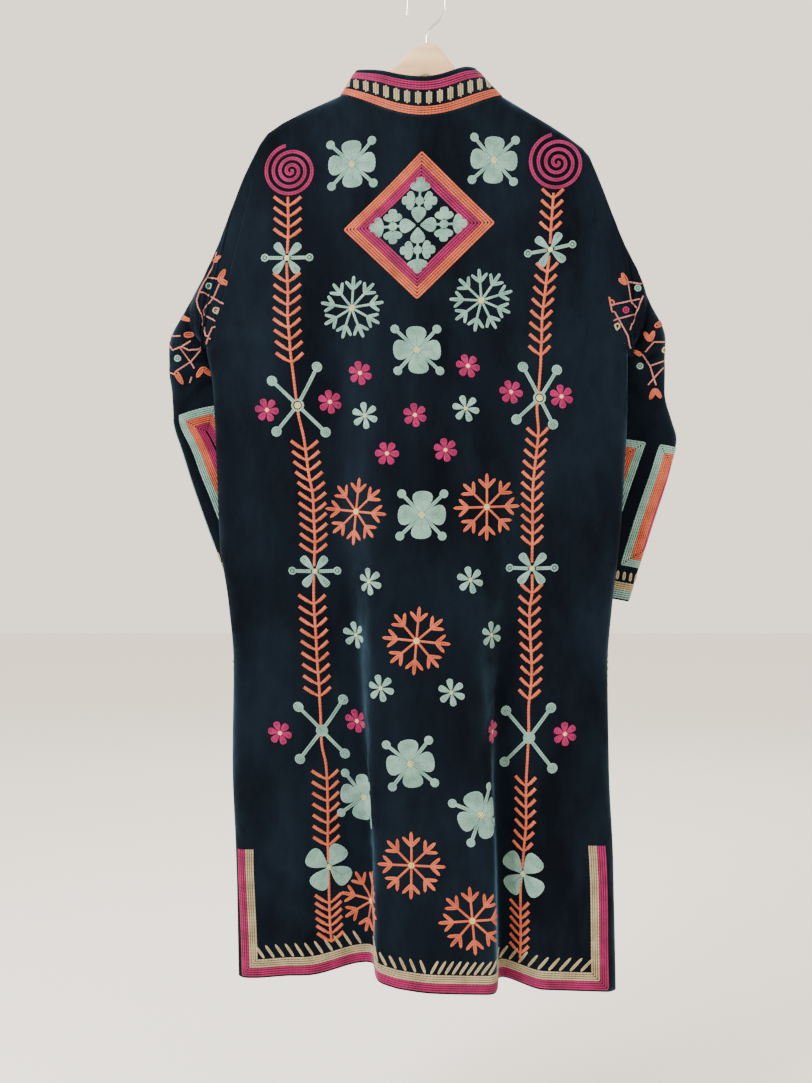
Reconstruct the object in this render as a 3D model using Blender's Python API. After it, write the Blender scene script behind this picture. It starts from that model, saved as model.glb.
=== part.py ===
"""Uzbek chapan robe hanging flat on a wooden hanger, seen from its back along +Y.

Metres, +Z up. The origin is the inside top of the hanger's hook, where a rail
holds it. X runs to the right of someone who looks at the robe's back, Y away
from them. Each piece of cloth is a wall with an inner and an outer face.
"""
from collections import namedtuple

import bmesh
import bpy
import numpy as np

# Driving sizes
WALL = 0.002                # velvet, interlining and lining together
SEAM_GAP = 0.0003           # pieces stand this far apart where they are sewn
STAND_OFF = 0.014           # cloth stands this far before and behind the hanger's plane
SIDE_ROLL = STAND_OFF * np.pi / 2   # cloth that rounds each side seam
ARMPIT_DROP = (0.493, 0.502)        # below the hook, left and right
HEM_DROP = (1.342, 1.349)
ARMPIT_GAP = 0.0018         # the underarm corner stands a little further apart
VENT_HEIGHT = 0.170
VENT_ROLL = np.radians(50)  # how far the sides still round at the hem
CROWN = 0.007               # the middle of the back stands prouder than its sides
FRONT_EDGE = 0.0025         # half the slit between the two fronts at the neck
FRONT_OPENING = 0.007       # half the slit at the hem

# Neck and shoulders
NECK_LEFT = (-0.1175, -0.155)       # x and z where shoulder seam and neckband meet
NECK_RIGHT = (0.104, -0.157)
BACK_NECK_DIP = 0.034
BACK_NECK_DEPTH = 0.028
FRONT_NECK_DROP = 0.285
FRONT_NECK_DEPTH = 0.024

# Hanger and hook
ARM_THICKNESS = 0.010
WIRE_RADIUS = 0.00175
HOOK_RADIUS = 0.025         # of the wire's centre line
HANGER_CLEAR = 0.0022       # from the shoulder's middle layer down to the wood

Shoulder = namedtuple("Shoulder", "x z")
SHOULDER_LINE = [
    Shoulder(-0.2225, -0.2185), Shoulder(-0.213, -0.205), Shoulder(-0.193, -0.191),
    Shoulder(-0.165, -0.1765), Shoulder(*NECK_LEFT), Shoulder(*NECK_RIGHT),
    Shoulder(0.140, -0.179), Shoulder(0.165, -0.194), Shoulder(0.188, -0.209),
    Shoulder(0.208, -0.224), Shoulder(0.2165, -0.2345),
]

# Each row is a place on the armhole or the side seam, as a fraction of its drop
Edge = namedtuple("Edge", "part left right")
ARMHOLE = [
    Edge(0.00, -0.2225, 0.2165), Edge(0.25, -0.2375, 0.2275), Edge(0.50, -0.254, 0.2355),
    Edge(0.75, -0.272, 0.245), Edge(0.87, -0.283, 0.252), Edge(1.00, -0.297, 0.270),
]
SIDE_SEAM = [
    Edge(0.00, -0.297, 0.270), Edge(0.065, -0.2875, 0.270), Edge(0.20, -0.282, 0.265),
    Edge(0.31, -0.278, 0.258), Edge(0.40, -0.267, 0.249), Edge(0.50, -0.260, 0.2425),
    Edge(0.66, -0.262, 0.2435), Edge(0.80, -0.258, 0.248), Edge(1.00, -0.254, 0.250),
]
SEAM_Y_AT_HEM = (0.012, -0.018)     # the left side hangs back, the right side forward

# The back's folds: each wall turns the cloth by a slope, towards the wall if positive
Fold = namedtuple("Fold", "at half_width slope begins full")
BACK_FOLDS = [
    Fold(0.200, 0.080, 16, 0.78, 1.26),     # left panel falls back
    Fold(0.345, 0.058, -84, 0.34, 1.15),    # left side of the centre fold
    Fold(0.700, 0.058, 84, 0.62, 1.16),     # right side of the centre fold
    Fold(0.800, 0.060, -32, 0.70, 1.22),    # right panel comes forward again
    Fold(0.060, 0.050, 14, 0.80, 1.25),     # soft edge of the left panel
]
FRONT_FOLDS = [
    Fold(0.22, 0.10, 24, 0.86, 1.30),
    Fold(0.46, 0.10, -22, 0.80, 1.25),
    Fold(0.70, 0.10, 20, 0.62, 1.20),
    Fold(0.90, 0.08, -20, 0.60, 1.20),
]
Hem = namedtuple("Hem", "at lift")
BACK_HEM = [Hem(0.0, 0.0), Hem(0.15, 0.003), Hem(0.30, 0.018), Hem(0.37, 0.013), Hem(0.44, 0.003),
            Hem(0.52, -0.001), Hem(0.64, 0.0), Hem(0.74, 0.006), Hem(0.86, 0.0), Hem(1.0, 0.0)]
FRONT_HEM = [Hem(0.0, 0.0), Hem(0.25, 0.003), Hem(0.55, 0.016), Hem(1.0, 0.018)]
Front = namedtuple("Front", "drop y")
FRONT_CENTRE = [Front(FRONT_NECK_DROP, FRONT_NECK_DEPTH), Front(0.50, 0.018),
                Front(0.86, 0.022), Front(1.10, 0.045), Front(1.35, 0.064)]

# A sleeve's flattened rings, from armhole to cuff: outer fold and underarm fold
Ring = namedtuple("Ring", "along outer_x outer_z outer_y under_x under_z under_y half_depth")
LEFT_SLEEVE = [
    Ring(0.00, -0.2225, -0.2185, 0.000, -0.2970, -0.4930, 0.000, 0.014),
    Ring(0.12, -0.2440, -0.2620, 0.000, -0.2992, -0.4928, 0.000, 0.014),
    Ring(0.26, -0.2670, -0.3200, 0.002, -0.3015, -0.4932, 0.001, 0.015),
    Ring(0.40, -0.2970, -0.3900, 0.006, -0.3035, -0.4955, 0.003, 0.018),
    Ring(0.50, -0.3270, -0.4420, 0.010, -0.3047, -0.4990, 0.006, 0.021),
    Ring(0.58, -0.3490, -0.4870, 0.014, -0.3005, -0.5020, 0.014, 0.020),
    Ring(0.64, -0.3505, -0.5200, 0.018, -0.2890, -0.5110, 0.025, 0.018),
    Ring(0.70, -0.3470, -0.5520, 0.022, -0.2790, -0.5330, 0.033, 0.016),
    Ring(0.76, -0.3460, -0.5880, 0.026, -0.2660, -0.5640, 0.036, 0.015),
    Ring(0.82, -0.3340, -0.6320, 0.030, -0.2400, -0.5980, 0.042, 0.014),
    Ring(0.88, -0.3180, -0.6840, 0.033, -0.2100, -0.6450, 0.044, 0.013),
    Ring(0.94, -0.2970, -0.7450, 0.036, -0.1820, -0.7030, 0.045, 0.012),
    Ring(1.00, -0.2740, -0.8070, 0.038, -0.1570, -0.7660, 0.046, 0.011),
]
RIGHT_SLEEVE = [
    Ring(0.00, 0.2165, -0.2345, 0.000, 0.2700, -0.5020, 0.000, 0.014),
    Ring(0.12, 0.2330, -0.2730, 0.000, 0.2722, -0.5018, 0.000, 0.014),
    Ring(0.26, 0.2580, -0.3350, 0.002, 0.2745, -0.5022, 0.001, 0.015),
    Ring(0.40, 0.2850, -0.3900, 0.006, 0.2765, -0.5045, 0.003, 0.018),
    Ring(0.50, 0.3030, -0.4320, 0.010, 0.2777, -0.5080, 0.006, 0.021),
    Ring(0.58, 0.3240, -0.4780, 0.014, 0.2757, -0.5118, 0.014, 0.020),
    Ring(0.64, 0.3245, -0.5130, 0.018, 0.2650, -0.5200, 0.025, 0.018),
    Ring(0.70, 0.3250, -0.5510, 0.022, 0.2550, -0.5400, 0.033, 0.016),
    Ring(0.76, 0.3360, -0.5900, 0.026, 0.2440, -0.5720, 0.036, 0.015),
    Ring(0.80, 0.3430, -0.6140, 0.029, 0.2320, -0.6050, 0.041, 0.014),
    Ring(0.86, 0.3330, -0.6600, 0.032, 0.2140, -0.6400, 0.044, 0.013),
    Ring(0.93, 0.3090, -0.7380, 0.036, 0.1920, -0.7050, 0.045, 0.012),
    Ring(1.00, 0.2790, -0.8370, 0.038, 0.1580, -0.8150, 0.046, 0.011),
]
# Cloth bunches across the elbow: place along, width, height, and how much it slants
Bunch = namedtuple("Bunch", "along width height slant")
ELBOW_BUNCHES = [Bunch(0.47, 0.035, 0.005, 0.10), Bunch(0.57, 0.030, 0.006, 0.06),
                 Bunch(0.66, 0.030, 0.005, -0.02), Bunch(0.76, 0.035, 0.004, -0.05)]

# Neckband: its height and lean at places round the neck, front edge to front edge
Band = namedtuple("Band", "part height lean_x")
NECK_CORNERS = (0.30, 0.70)     # where the shoulder seams meet the band
NECKBAND = [
    Band(0.00, 0.054, 0.00), Band(0.06, 0.044, 0.36), Band(0.14, 0.038, 0.70),
    Band(0.22, 0.037, 0.70), Band(0.30, 0.037, 0.54), Band(0.41, 0.048, 0.22),
    Band(0.50, 0.052, 0.00), Band(0.59, 0.052, -0.28), Band(0.70, 0.051, -0.70),
    Band(0.78, 0.042, -0.72), Band(0.86, 0.038, -0.70), Band(0.94, 0.044, -0.36),
    Band(1.00, 0.054, 0.00),
]
Wood = namedtuple("Wood", "x top bottom")
HANGER_MIDDLE = [
    Wood(-0.1135, -0.1575, -0.1870), Wood(-0.100, -0.1500, -0.1800), Wood(-0.085, -0.1408, -0.171),
    Wood(-0.057, -0.124, -0.155), Wood(-0.032, -0.102, -0.142),
    Wood(-0.014, -0.086, -0.132), Wood(0.0, -0.082, -0.125), Wood(0.014, -0.086, -0.132),
    Wood(0.030, -0.104, -0.141), Wood(0.049, -0.130, -0.151), Wood(0.070, -0.1425, -0.170),
    Wood(0.088, -0.1528, -0.182), Wood(0.100, -0.1595, -0.1890),
]
HANGER_ENDS = (-0.209, 0.203)
HANGER_ROUND = 0.012        # length over which each end of the wood is rounded
ARM_HEIGHT = 0.030
OVAL_POWER = 0.7            # under 1 the wood's oval section has fuller corners
HOOK_STEM = [(0.0, -0.0817), (0.0, -0.074), (0.0018, -0.066), (0.0085, -0.058),
             (0.0175, -0.050), (0.0235, -0.040), (0.0252, -0.031)]
HOOK_TIP = [(-0.0255, -0.033), (-0.0268, -0.0445)]

SLICES = 401                # samples along a row while its slopes are summed
ROLL_STEPS = 3
ROLL_PART = 0.0756          # of the armhole, at each end, that rounds a fold
MIDDLE_STEPS = 6
LOWER_STEPS = 18
SHOULDER_STEPS = 6
NECK_STEPS = 17
FRONT_STEPS = 9
NECK_TURN = 0.02            # of the neck's width, where its seam leaves the hanger's plane
SLEEVE_STEPS = 22
BAND_STEPS = 3
HANGER_SIDES = 12
HANGER_ARM_STEPS = 9
HANGER_MIDDLE_STEPS = 23

# Cloth that settles from one shape into another
NECK_SETTLE = 0.45          # of the armhole's drop, to full depth under the neck seam
ARMHOLE_FADE = 0.3          # of the sleeve, from the armhole's own shape to the table's
PINCH_FADE = 0.35           # of the sleeve, where the underarm's wider gap ends
SEAM_FADE = 0.1             # of the sleeve, where the seam gap ends
SEAM_MOVE = 1.2             # seam gaps between the body and the sleeve's first ring
FOLD_MOVE = 3.4             # the same at the two folded ends of the armhole
BUNCH_REST = 0.2            # how far the cloth between the bunches draws in


def column(table, name):
    """One named column of a table, as an array."""
    return np.array([getattr(row, name) for row in table])


def smooth(keys, values, at):
    """A smooth curve through a table's values that never swings past them."""
    keys = np.asarray(keys, float)
    values = np.asarray(values, float)
    step = np.diff(keys)
    rise = np.diff(values) / step
    tangent = np.zeros(len(keys))
    tangent[0] = rise[0]
    tangent[-1] = rise[-1]
    product = rise[1:] * rise[:-1]
    total = np.where(product > 0, rise[1:] + rise[:-1], 1.0)
    tangent[1:-1] = np.where(product > 0, 2 * product / total, 0.0)
    at = np.clip(at, keys[0], keys[-1])
    piece = np.clip(np.searchsorted(keys, at) - 1, 0, len(step) - 1)
    t = (at - keys[piece]) / step[piece]
    start = values[piece] * (1 + 2 * t) * (1 - t) ** 2
    end = values[piece + 1] * t * t * (3 - 2 * t)
    bend = step[piece] * t * (1 - t) * (tangent[piece] * (1 - t) - tangent[piece + 1] * t)
    return start + end + bend


def ease(x):
    """0 before 0, 1 after 1, and a soft S between."""
    x = np.clip(x, 0, 1)
    return x * x * (3 - 2 * x)


def shoulder_height(x):
    """Height of the ridge that the shoulders make over the hanger's arms."""
    return np.interp(x, column(SHOULDER_LINE, "x"), column(SHOULDER_LINE, "z"))


def neck_part(x):
    """How far x lies across the neck: 0 at its left end, 1 at its right end."""
    return np.clip((x - NECK_LEFT[0]) / (NECK_RIGHT[0] - NECK_LEFT[0]), 0, 1)


def fold_angle(part):
    """Angle round the folded edge at each end of the armhole, 90 degrees between."""
    from_end = np.minimum(part, 1 - part) / ROLL_PART
    return np.clip(from_end, 0, 1) * np.pi / 2


def armhole_drop(part, round_off=STAND_OFF / (ARMPIT_DROP[0] + SHOULDER_LINE[0].z)):
    """Fraction of a flattened ring's length at a fraction of the cloth along it.

    round_off is the share of the length that each rounded end takes.
    """
    angle = fold_angle(part)
    straight = round_off + (part - ROLL_PART) / (1 - 2 * ROLL_PART) * (1 - 2 * round_off)
    rounded = round_off * (1 - np.cos(angle))
    middle = (part > ROLL_PART) & (part < 1 - ROLL_PART)
    return np.where(middle, straight, np.where(part < 0.5, rounded, 1 - rounded))


def body_edges(rows):
    """Edges of the body at each row: 0 to 1 is the armhole, 1 to 2 the side seam.

    Gives left x, left z, right x, right z, the angle by which the cloth rounds
    the side, and the y of the two side seams.
    """
    upper = armhole_drop(np.clip(rows, 0, 1))
    lower = np.clip(rows - 1, 0, 1)
    above = rows < 1
    parts = column(ARMHOLE, "part")
    seam_parts = column(SIDE_SEAM, "part")
    sides = []
    for side, name in enumerate(("left", "right")):
        x = np.where(above, smooth(parts, column(ARMHOLE, name), upper),
                     smooth(seam_parts, column(SIDE_SEAM, name), lower))
        top = SHOULDER_LINE[-side].z
        armpit = -ARMPIT_DROP[side]
        z = np.where(above, top + (armpit - top) * upper,
                     armpit + (-HEM_DROP[side] - armpit) * lower)
        sides += [x, z]
    to_armpit = 1 - fold_angle(np.maximum(np.clip(rows, 0, 1), 0.5)) / (np.pi / 2)
    vent_start = 1 - VENT_HEIGHT / (HEM_DROP[0] - ARMPIT_DROP[0])
    opened = ease((lower - vent_start) / (1 - vent_start))
    roll = np.pi / 2 * to_armpit ** 2 - (np.pi / 2 - VENT_ROLL) * opened
    seam_y = [end * ease((lower - 0.35) / 0.65) for end in SEAM_Y_AT_HEM]
    return (*sides, np.maximum(roll, 1e-4), *seam_y)


def row_slopes(folds, drop):
    """Slope of the cloth along each row: the folds' bumps, grown with the drop."""
    at = np.linspace(0, 1, SLICES)
    slope = np.zeros((len(drop), SLICES))
    for fold in folds:
        reach = np.clip(np.abs(at - fold.at) / fold.half_width, 0, 1)
        bump = (1 - reach ** 4) ** 2
        grown = ease((drop - fold.begins) / (fold.full - fold.begins))
        slope += np.radians(fold.slope) * grown[:, None] * bump[None, :]
    return slope


def lay_rows(across, x0, x1, y0, y1, roll, slope, face, rolls_at_end):
    """Lay each row of cloth between its edges and sum its slopes.

    across runs 0 to 1 over the panel and beyond by 1 round a side seam. x and y
    come from adding up the cosine and the sine of the slope along the cloth;
    the rolled sides are arcs. face is -1 for the back and 1 for a front.
    """
    step = 1 / (SLICES - 1)
    run = np.zeros(slope.shape)
    rise = np.zeros(slope.shape)
    run[:, 1:] = np.cumsum((np.cos(slope[:, 1:]) + np.cos(slope[:, :-1])) / 2, axis=1) * step
    rise[:, 1:] = np.cumsum((np.sin(slope[:, 1:]) + np.sin(slope[:, :-1])) / 2, axis=1) * step
    length = (x1 - x0 - STAND_OFF * (2 if rolls_at_end else 1)) / run[:, -1]
    miss = (y1 - y0) - length * rise[:, -1]
    inside = np.clip(across, 0, 1) * (SLICES - 1)
    low = np.minimum(inside.astype(int), SLICES - 2)
    share = inside - low
    far = run[:, low] * (1 - share) + run[:, low + 1] * share
    deep = rise[:, low] * (1 - share) + rise[:, low + 1] * share
    x = (x0 + STAND_OFF)[:, None] + length[:, None] * far
    y = y0[:, None] + length[:, None] * deep
    y = y + miss[:, None] * np.clip(across, 0, 1)[None, :]
    for beyond, sign in ((np.clip(-across, 0, 1), -1), (np.clip(across - 1, 0, 1), 1)):
        turn = roll[:, None] * beyond[None, :]
        x = x + sign * STAND_OFF * np.sin(turn) / np.sin(roll)[:, None]
        y = y - face * SIDE_ROLL / roll[:, None] * (1 - np.cos(turn))
    return x, y


def settle_top(y, rows, neck_blend, neck_y, face):
    """Roll the cloth over the shoulder ridge, and stand it up round the neck.

    Below its top edge the cloth reaches its full depth within the roll over the
    hanger's arm, or slowly under the neck seam.
    """
    part = np.clip(rows, 0, 1)[:, None]
    over = np.where(part < 0.5, np.sin(fold_angle(part)), 1.0)
    below = ease(part / NECK_SETTLE)
    reached = over * (1 - neck_blend) + below * neck_blend
    return neck_y * (1 - reached) + y * reached + face * SEAM_GAP / 2


def back_points(across, rows):
    """The back's middle layer: a row for each place down it, a column across it."""
    left_x, left_z, right_x, right_z, roll, left_y, right_y = body_edges(rows)
    drop = -(left_z + right_z) / 2
    slope = row_slopes(BACK_FOLDS, drop)
    at = np.linspace(0, 1, SLICES)
    flat = ease((drop - 0.24) / 0.15) * (1 - 0.6 * ease((drop - 0.9) / 0.3))
    slope -= (CROWN * np.pi / 0.55) * flat[:, None] * np.cos(np.pi * at)[None, :]
    x, y = lay_rows(across, left_x, right_x, left_y - STAND_OFF, right_y - STAND_OFF,
                    roll, slope, -1, True)
    a = (x - left_x[:, None]) / (right_x - left_x)[:, None]
    part = np.clip(rows, 0, 1)[:, None]
    lower = np.clip(rows - 1, 0, 1)[:, None]
    top_x = SHOULDER_LINE[0].x + (SHOULDER_LINE[-1].x - SHOULDER_LINE[0].x) * a
    k = neck_part(top_x)
    dip = BACK_NECK_DIP * np.sin(np.pi * k) ** 1.3
    top_line = shoulder_height(top_x) - dip
    lift = smooth(column(BACK_HEM, "at"), column(BACK_HEM, "lift"), across)[None, :]
    neck_blend = np.minimum(1, 1.6 * np.sin(np.pi * k)) * (rows < 1)[:, None]
    upper = armhole_drop(part) * (1 - neck_blend) + part * neck_blend
    armpit_line = -ARMPIT_DROP[0] + (ARMPIT_DROP[0] - ARMPIT_DROP[1]) * a
    hem_line = -HEM_DROP[0] + (HEM_DROP[0] - HEM_DROP[1]) * a + lift * lower
    z = np.where(rows[:, None] < 1, top_line * (1 - upper) + armpit_line * upper,
                 armpit_line * (1 - lower) + hem_line * lower)
    neck_y = -BACK_NECK_DEPTH * np.sin(np.pi * k) ** 0.4
    y = settle_top(y, rows, neck_blend, neck_y, -1)
    return np.stack([x, y, z], axis=-1)


def front_points(side, across, rows):
    """One front's middle layer, from its side seam (0) to its open edge (1).

    It is worked out as the left front; the right one (side 1) is turned over
    in x at the end, with its own edges and neck.
    """
    left_x, left_z, right_x, right_z, roll, left_y, right_y = body_edges(rows)
    if side < 0:
        edge_x, edge_y, neck, tip = left_x, left_y, NECK_LEFT, SHOULDER_LINE[0]
        armpit, hem = -ARMPIT_DROP[0], -HEM_DROP[0]
    else:
        edge_x, edge_y, neck, tip = -right_x, right_y, NECK_RIGHT, SHOULDER_LINE[-1]
        armpit, hem = -ARMPIT_DROP[1], -HEM_DROP[1]
    upper = armhole_drop(np.clip(rows, 0, 1))
    lower = np.clip(rows - 1, 0, 1)
    bottom = -(left_z + right_z) / 2
    drop = np.where(rows < 1, FRONT_NECK_DROP * (1 - upper) + bottom * upper, bottom)
    centre_y = smooth(column(FRONT_CENTRE, "drop"), column(FRONT_CENTRE, "y"), drop)
    middle = -side * (NECK_LEFT[0] + NECK_RIGHT[0]) / 2
    open_x = middle - FRONT_EDGE - (FRONT_OPENING - FRONT_EDGE) * lower
    slope = row_slopes(FRONT_FOLDS, drop)
    x, y = lay_rows(across, edge_x, open_x, edge_y + STAND_OFF, centre_y, roll, slope, 1, False)
    a = (x - edge_x[:, None]) / (open_x - edge_x)[:, None]
    tip_x = -abs(tip.x)
    neck_x = -abs(neck[0])
    top_x = tip_x + (open_x[0] - tip_x) * a
    k = np.clip((top_x - neck_x) / (open_x[0] - neck_x), 0, 1)
    neckline = neck[1] - (FRONT_NECK_DROP + neck[1]) * k ** 1.15
    top_line = np.where(k > 0, neckline, shoulder_height(-side * top_x))
    neck_blend = np.minimum(1, 3.2 * k) * (rows < 1)[:, None]
    part = np.clip(rows, 0, 1)[:, None]
    eased = armhole_drop(part) * (1 - neck_blend) + part * neck_blend
    armpit_line = armpit * (1 - a) - np.mean(ARMPIT_DROP) * a
    lift = smooth(column(FRONT_HEM, "at"), column(FRONT_HEM, "lift"), across)[None, :]
    hem_line = hem * (1 - a) - np.mean(HEM_DROP) * a + lift * lower[:, None]
    z = np.where(rows[:, None] < 1, top_line * (1 - eased) + armpit_line * eased,
                 armpit_line * (1 - lower[:, None]) + hem_line * lower[:, None])
    neck_y = FRONT_NECK_DEPTH * np.sin(np.pi / 2 * k) ** 0.3
    y = settle_top(y, rows, neck_blend, neck_y, 1)
    return np.stack([-side * x, y, z], axis=-1)


def normals(points):
    """Unit normals of a grid of points, from the cross product of its two ways."""
    down = np.gradient(points, axis=0)
    over = np.gradient(points, axis=1)
    cross = np.cross(down, over)
    return cross / np.linalg.norm(cross, axis=-1, keepdims=True)


def wall(points, normal, thickness=WALL, around=False):
    """Vertices and faces of a closed wall on a grid: two faces and its rims.

    around joins the last column to the first, which makes a tube.
    """
    rows, columns = points.shape[:2]
    outer = points + normal * thickness / 2
    inner = points - normal * thickness / 2
    vertices = np.concatenate([outer.reshape(-1, 3), inner.reshape(-1, 3)])
    index = np.arange(rows * columns).reshape(rows, columns)
    if around:
        index = np.concatenate([index, index[:, :1]], axis=1)
    a, b = index[:-1, :-1].ravel(), index[:-1, 1:].ravel()
    c, d = index[1:, 1:].ravel(), index[1:, :-1].ravel()
    other = rows * columns
    quads = [np.stack([a, b, c, d], axis=1), np.stack([a, d, c, b], axis=1) + other]
    rims = [index[0], index[-1]]
    if not around:
        rims += [index[:, 0], index[:, -1]]
    for number, rim in enumerate(rims):
        rim = rim if number in (1, 2) else rim[::-1]
        quads.append(np.stack([rim[:-1], rim[1:], rim[1:] + other, rim[:-1] + other], axis=1))
    quads = np.concatenate(quads)
    return vertices, np.concatenate([quads[:, [0, 1, 2]], quads[:, [0, 2, 3]]])


def add_object(name, vertices, faces, material, sharp=40):
    """A mesh object with its faces pointing out and its round parts smooth."""
    mesh = bpy.data.meshes.new(name)
    mesh.from_pydata(vertices.tolist(), [], [list(face) for face in faces])
    work = bmesh.new()
    work.from_mesh(mesh)
    bmesh.ops.recalc_face_normals(work, faces=work.faces)
    work.to_mesh(mesh)
    work.free()
    mesh.shade_smooth()
    mesh.set_sharp_from_angle(angle=np.radians(sharp))
    mesh.materials.append(material)
    item = bpy.data.objects.new(name, mesh)
    bpy.context.collection.objects.link(item)
    return item


def panel_normals(points, rows, seams, top):
    """Normals of a body panel. At a seam they lie in the hanger's plane.

    seams are the columns at the side seams, top the columns of the shoulders.
    """
    normal = normals(points)
    vent = 2 - VENT_HEIGHT / (HEM_DROP[0] - ARMPIT_DROP[0])
    sewn = (rows >= 1) & (rows <= vent)
    for seam in seams:
        normal[sewn, seam, 1] = 0
    normal[0, top, 1] = 0
    return normal / np.linalg.norm(normal, axis=-1, keepdims=True)


def material(name, colour, roughness, metallic=0.0):
    """A plain finish for one kind of piece."""
    finish = bpy.data.materials.new(name)
    finish.use_nodes = True
    shader = finish.node_tree.nodes["Principled BSDF"]
    shader.inputs["Base Color"].default_value = (*colour, 1)
    shader.inputs["Roughness"].default_value = roughness
    shader.inputs["Metallic"].default_value = metallic
    return finish


def armhole_parts():
    """Places down the armhole: close together where the cloth rounds a fold."""
    roll = np.linspace(0, ROLL_PART, ROLL_STEPS + 1)
    middle = np.linspace(ROLL_PART, 1 - ROLL_PART, MIDDLE_STEPS + 1)[1:-1]
    return np.concatenate([roll, middle, 1 - roll[::-1]])


def body_rows():
    """Places down a body panel, from shoulder to armpit and on to the hem."""
    return np.concatenate([armhole_parts(), 1 + np.linspace(0, 1, LOWER_STEPS + 1)[1:]])


def back_columns():
    """Places across the back, and the columns where the neck seam starts and ends."""
    left = SHOULDER_LINE[0].x + STAND_OFF
    right = SHOULDER_LINE[-1].x - STAND_OFF
    start = (NECK_LEFT[0] - left) / (right - left)
    end = (NECK_RIGHT[0] - left) / (right - left)
    rolled = np.linspace(-1, 0, ROLL_STEPS + 1)
    evenly = np.linspace(0, 1, NECK_STEPS - 1)[1:-1]
    neck_places = np.concatenate([[NECK_TURN], evenly, [1 - NECK_TURN, 1]])
    places = np.concatenate([
        rolled, np.linspace(0, start, SHOULDER_STEPS + 1)[1:],
        start + (end - start) * neck_places,
        np.linspace(end, 1, SHOULDER_STEPS + 1)[1:], 1 - rolled[::-1][1:]])
    first = ROLL_STEPS + SHOULDER_STEPS
    return places, first, first + NECK_STEPS


def front_columns(side):
    """Places across a front, and the column where the shoulder meets the neck."""
    tip = abs(SHOULDER_LINE[0 if side < 0 else -1].x) - STAND_OFF
    neck = abs((NECK_LEFT if side < 0 else NECK_RIGHT)[0])
    open_x = side * (NECK_LEFT[0] + NECK_RIGHT[0]) / 2 + FRONT_EDGE
    start = (tip - neck) / (tip - open_x)
    places = np.concatenate([
        np.linspace(-1, 0, ROLL_STEPS + 1), np.linspace(0, start, SHOULDER_STEPS)[1:],
        start + (1 - start) * np.concatenate([[2 * NECK_TURN], np.linspace(0, 1, FRONT_STEPS)[1:]])])
    return places, ROLL_STEPS + SHOULDER_STEPS - 1


def armhole_ring(side, parts):
    """The armhole's edge and normals: down the back, then up the front again."""
    near = np.array([-1, 1 / ROLL_STEPS - 1])
    rows = np.concatenate([parts, [1 + 1 / LOWER_STEPS]])
    back = back_points(near if side < 0 else 1 - near[::-1], rows)
    front = front_points(side, near, rows)
    edge = 0 if side < 0 else 1
    back_edge, back_normal = back[:-1, edge], normals(back)[:-1, edge]
    front_edge, front_normal = front[:-1, 0], normals(front)[:-1, 0]
    ring = np.concatenate([back_edge, front_edge[-2:0:-1]])
    facing = np.concatenate([back_normal, front_normal[-2:0:-1]])
    ring[[0, len(parts) - 1], 1] = 0
    return ring, facing


def sleeve_ring_points(table, along, part, face):
    """Points of a sleeve's flattened rings: face is -1 on its back half, 1 on its front."""
    keys = column(table, "along")
    outer, under = (np.stack([smooth(keys, column(table, f"{name}_{axis}"), along)
                              for axis in "xyz"], axis=-1) for name in ("outer", "under"))
    depth = smooth(keys, column(table, "half_depth"), along)[:, None]
    length = np.linalg.norm(under - outer, axis=-1)[:, None]
    across = armhole_drop(part[None, :], np.minimum(depth / length, 0.45))
    fullness = np.sin(fold_angle(part))[None, :]
    points = outer[:, None, :] + (under - outer)[:, None, :] * across[:, :, None]
    stand = depth * fullness
    for bunch in ELBOW_BUNCHES:
        place = (along[:, None] - bunch.along - bunch.slant * (across - 0.5)) / bunch.width
        stand = stand + bunch.height * fullness * (np.exp(-place ** 2) - BUNCH_REST)
    fade = np.clip((along - 0.05) / ARMHOLE_FADE, 0, 1)[:, None]
    stand = depth * fullness * (1 - fade) + stand * fade
    points[..., 1] += face[None, :] * stand
    return points


def sleeve_points(side, along, parts):
    """A sleeve's middle layer and normals; its first ring meets the armhole."""
    table = LEFT_SLEEVE if side < 0 else RIGHT_SLEEVE
    around = np.concatenate([parts, parts[-2:0:-1]])
    face = np.concatenate([-np.ones(len(parts)), np.ones(len(parts) - 2)])
    points = sleeve_ring_points(table, along, around, face)
    ring, facing = armhole_ring(side, parts)
    miss = ring - sleeve_ring_points(table, np.zeros(1), around, face)[0]
    fade = np.clip(1 - along / ARMHOLE_FADE, 0, 1)[:, None, None] ** 2
    points = points + miss[None] * fade
    round_it = np.roll(points[0], -1, axis=0) - np.roll(points[0], 1, axis=0)
    round_it /= np.linalg.norm(round_it, axis=-1, keepdims=True)
    away = points[1] - points[0]
    away -= round_it * np.sum(away * round_it, axis=-1, keepdims=True)
    away /= np.linalg.norm(away, axis=-1, keepdims=True)
    at_armhole = np.clip(1 - along / SEAM_FADE, 0, 1)[:, None, None]
    near_it = np.clip(1 - along / PINCH_FADE, 0, 1)[:, None, None]
    under = around[None, :, None] > 0.5
    pinch = np.where(under, 1 - np.sin(fold_angle(around))[None, :, None], 0) ** 1.5
    folded = np.minimum(around, 1 - around) < 1.1 * ROLL_PART
    gap = SEAM_GAP * np.where(folded, FOLD_MOVE, SEAM_MOVE)[None, :, None]
    move = gap * at_armhole + ARMPIT_GAP * pinch * near_it
    points = points + move * away[None]
    wrapped = np.concatenate([points[:, -1:], points, points[:, :1]], axis=1)
    normal = normals(wrapped)[:, 1:-1]
    same = np.sign(np.sum(facing * normal[0], axis=-1, keepdims=True))
    own = pinch[0]
    normal[0] = facing * same * (1 - own) + normal[0] * own
    normal[0] /= np.linalg.norm(normal[0], axis=-1, keepdims=True)
    return points, normal


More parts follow.
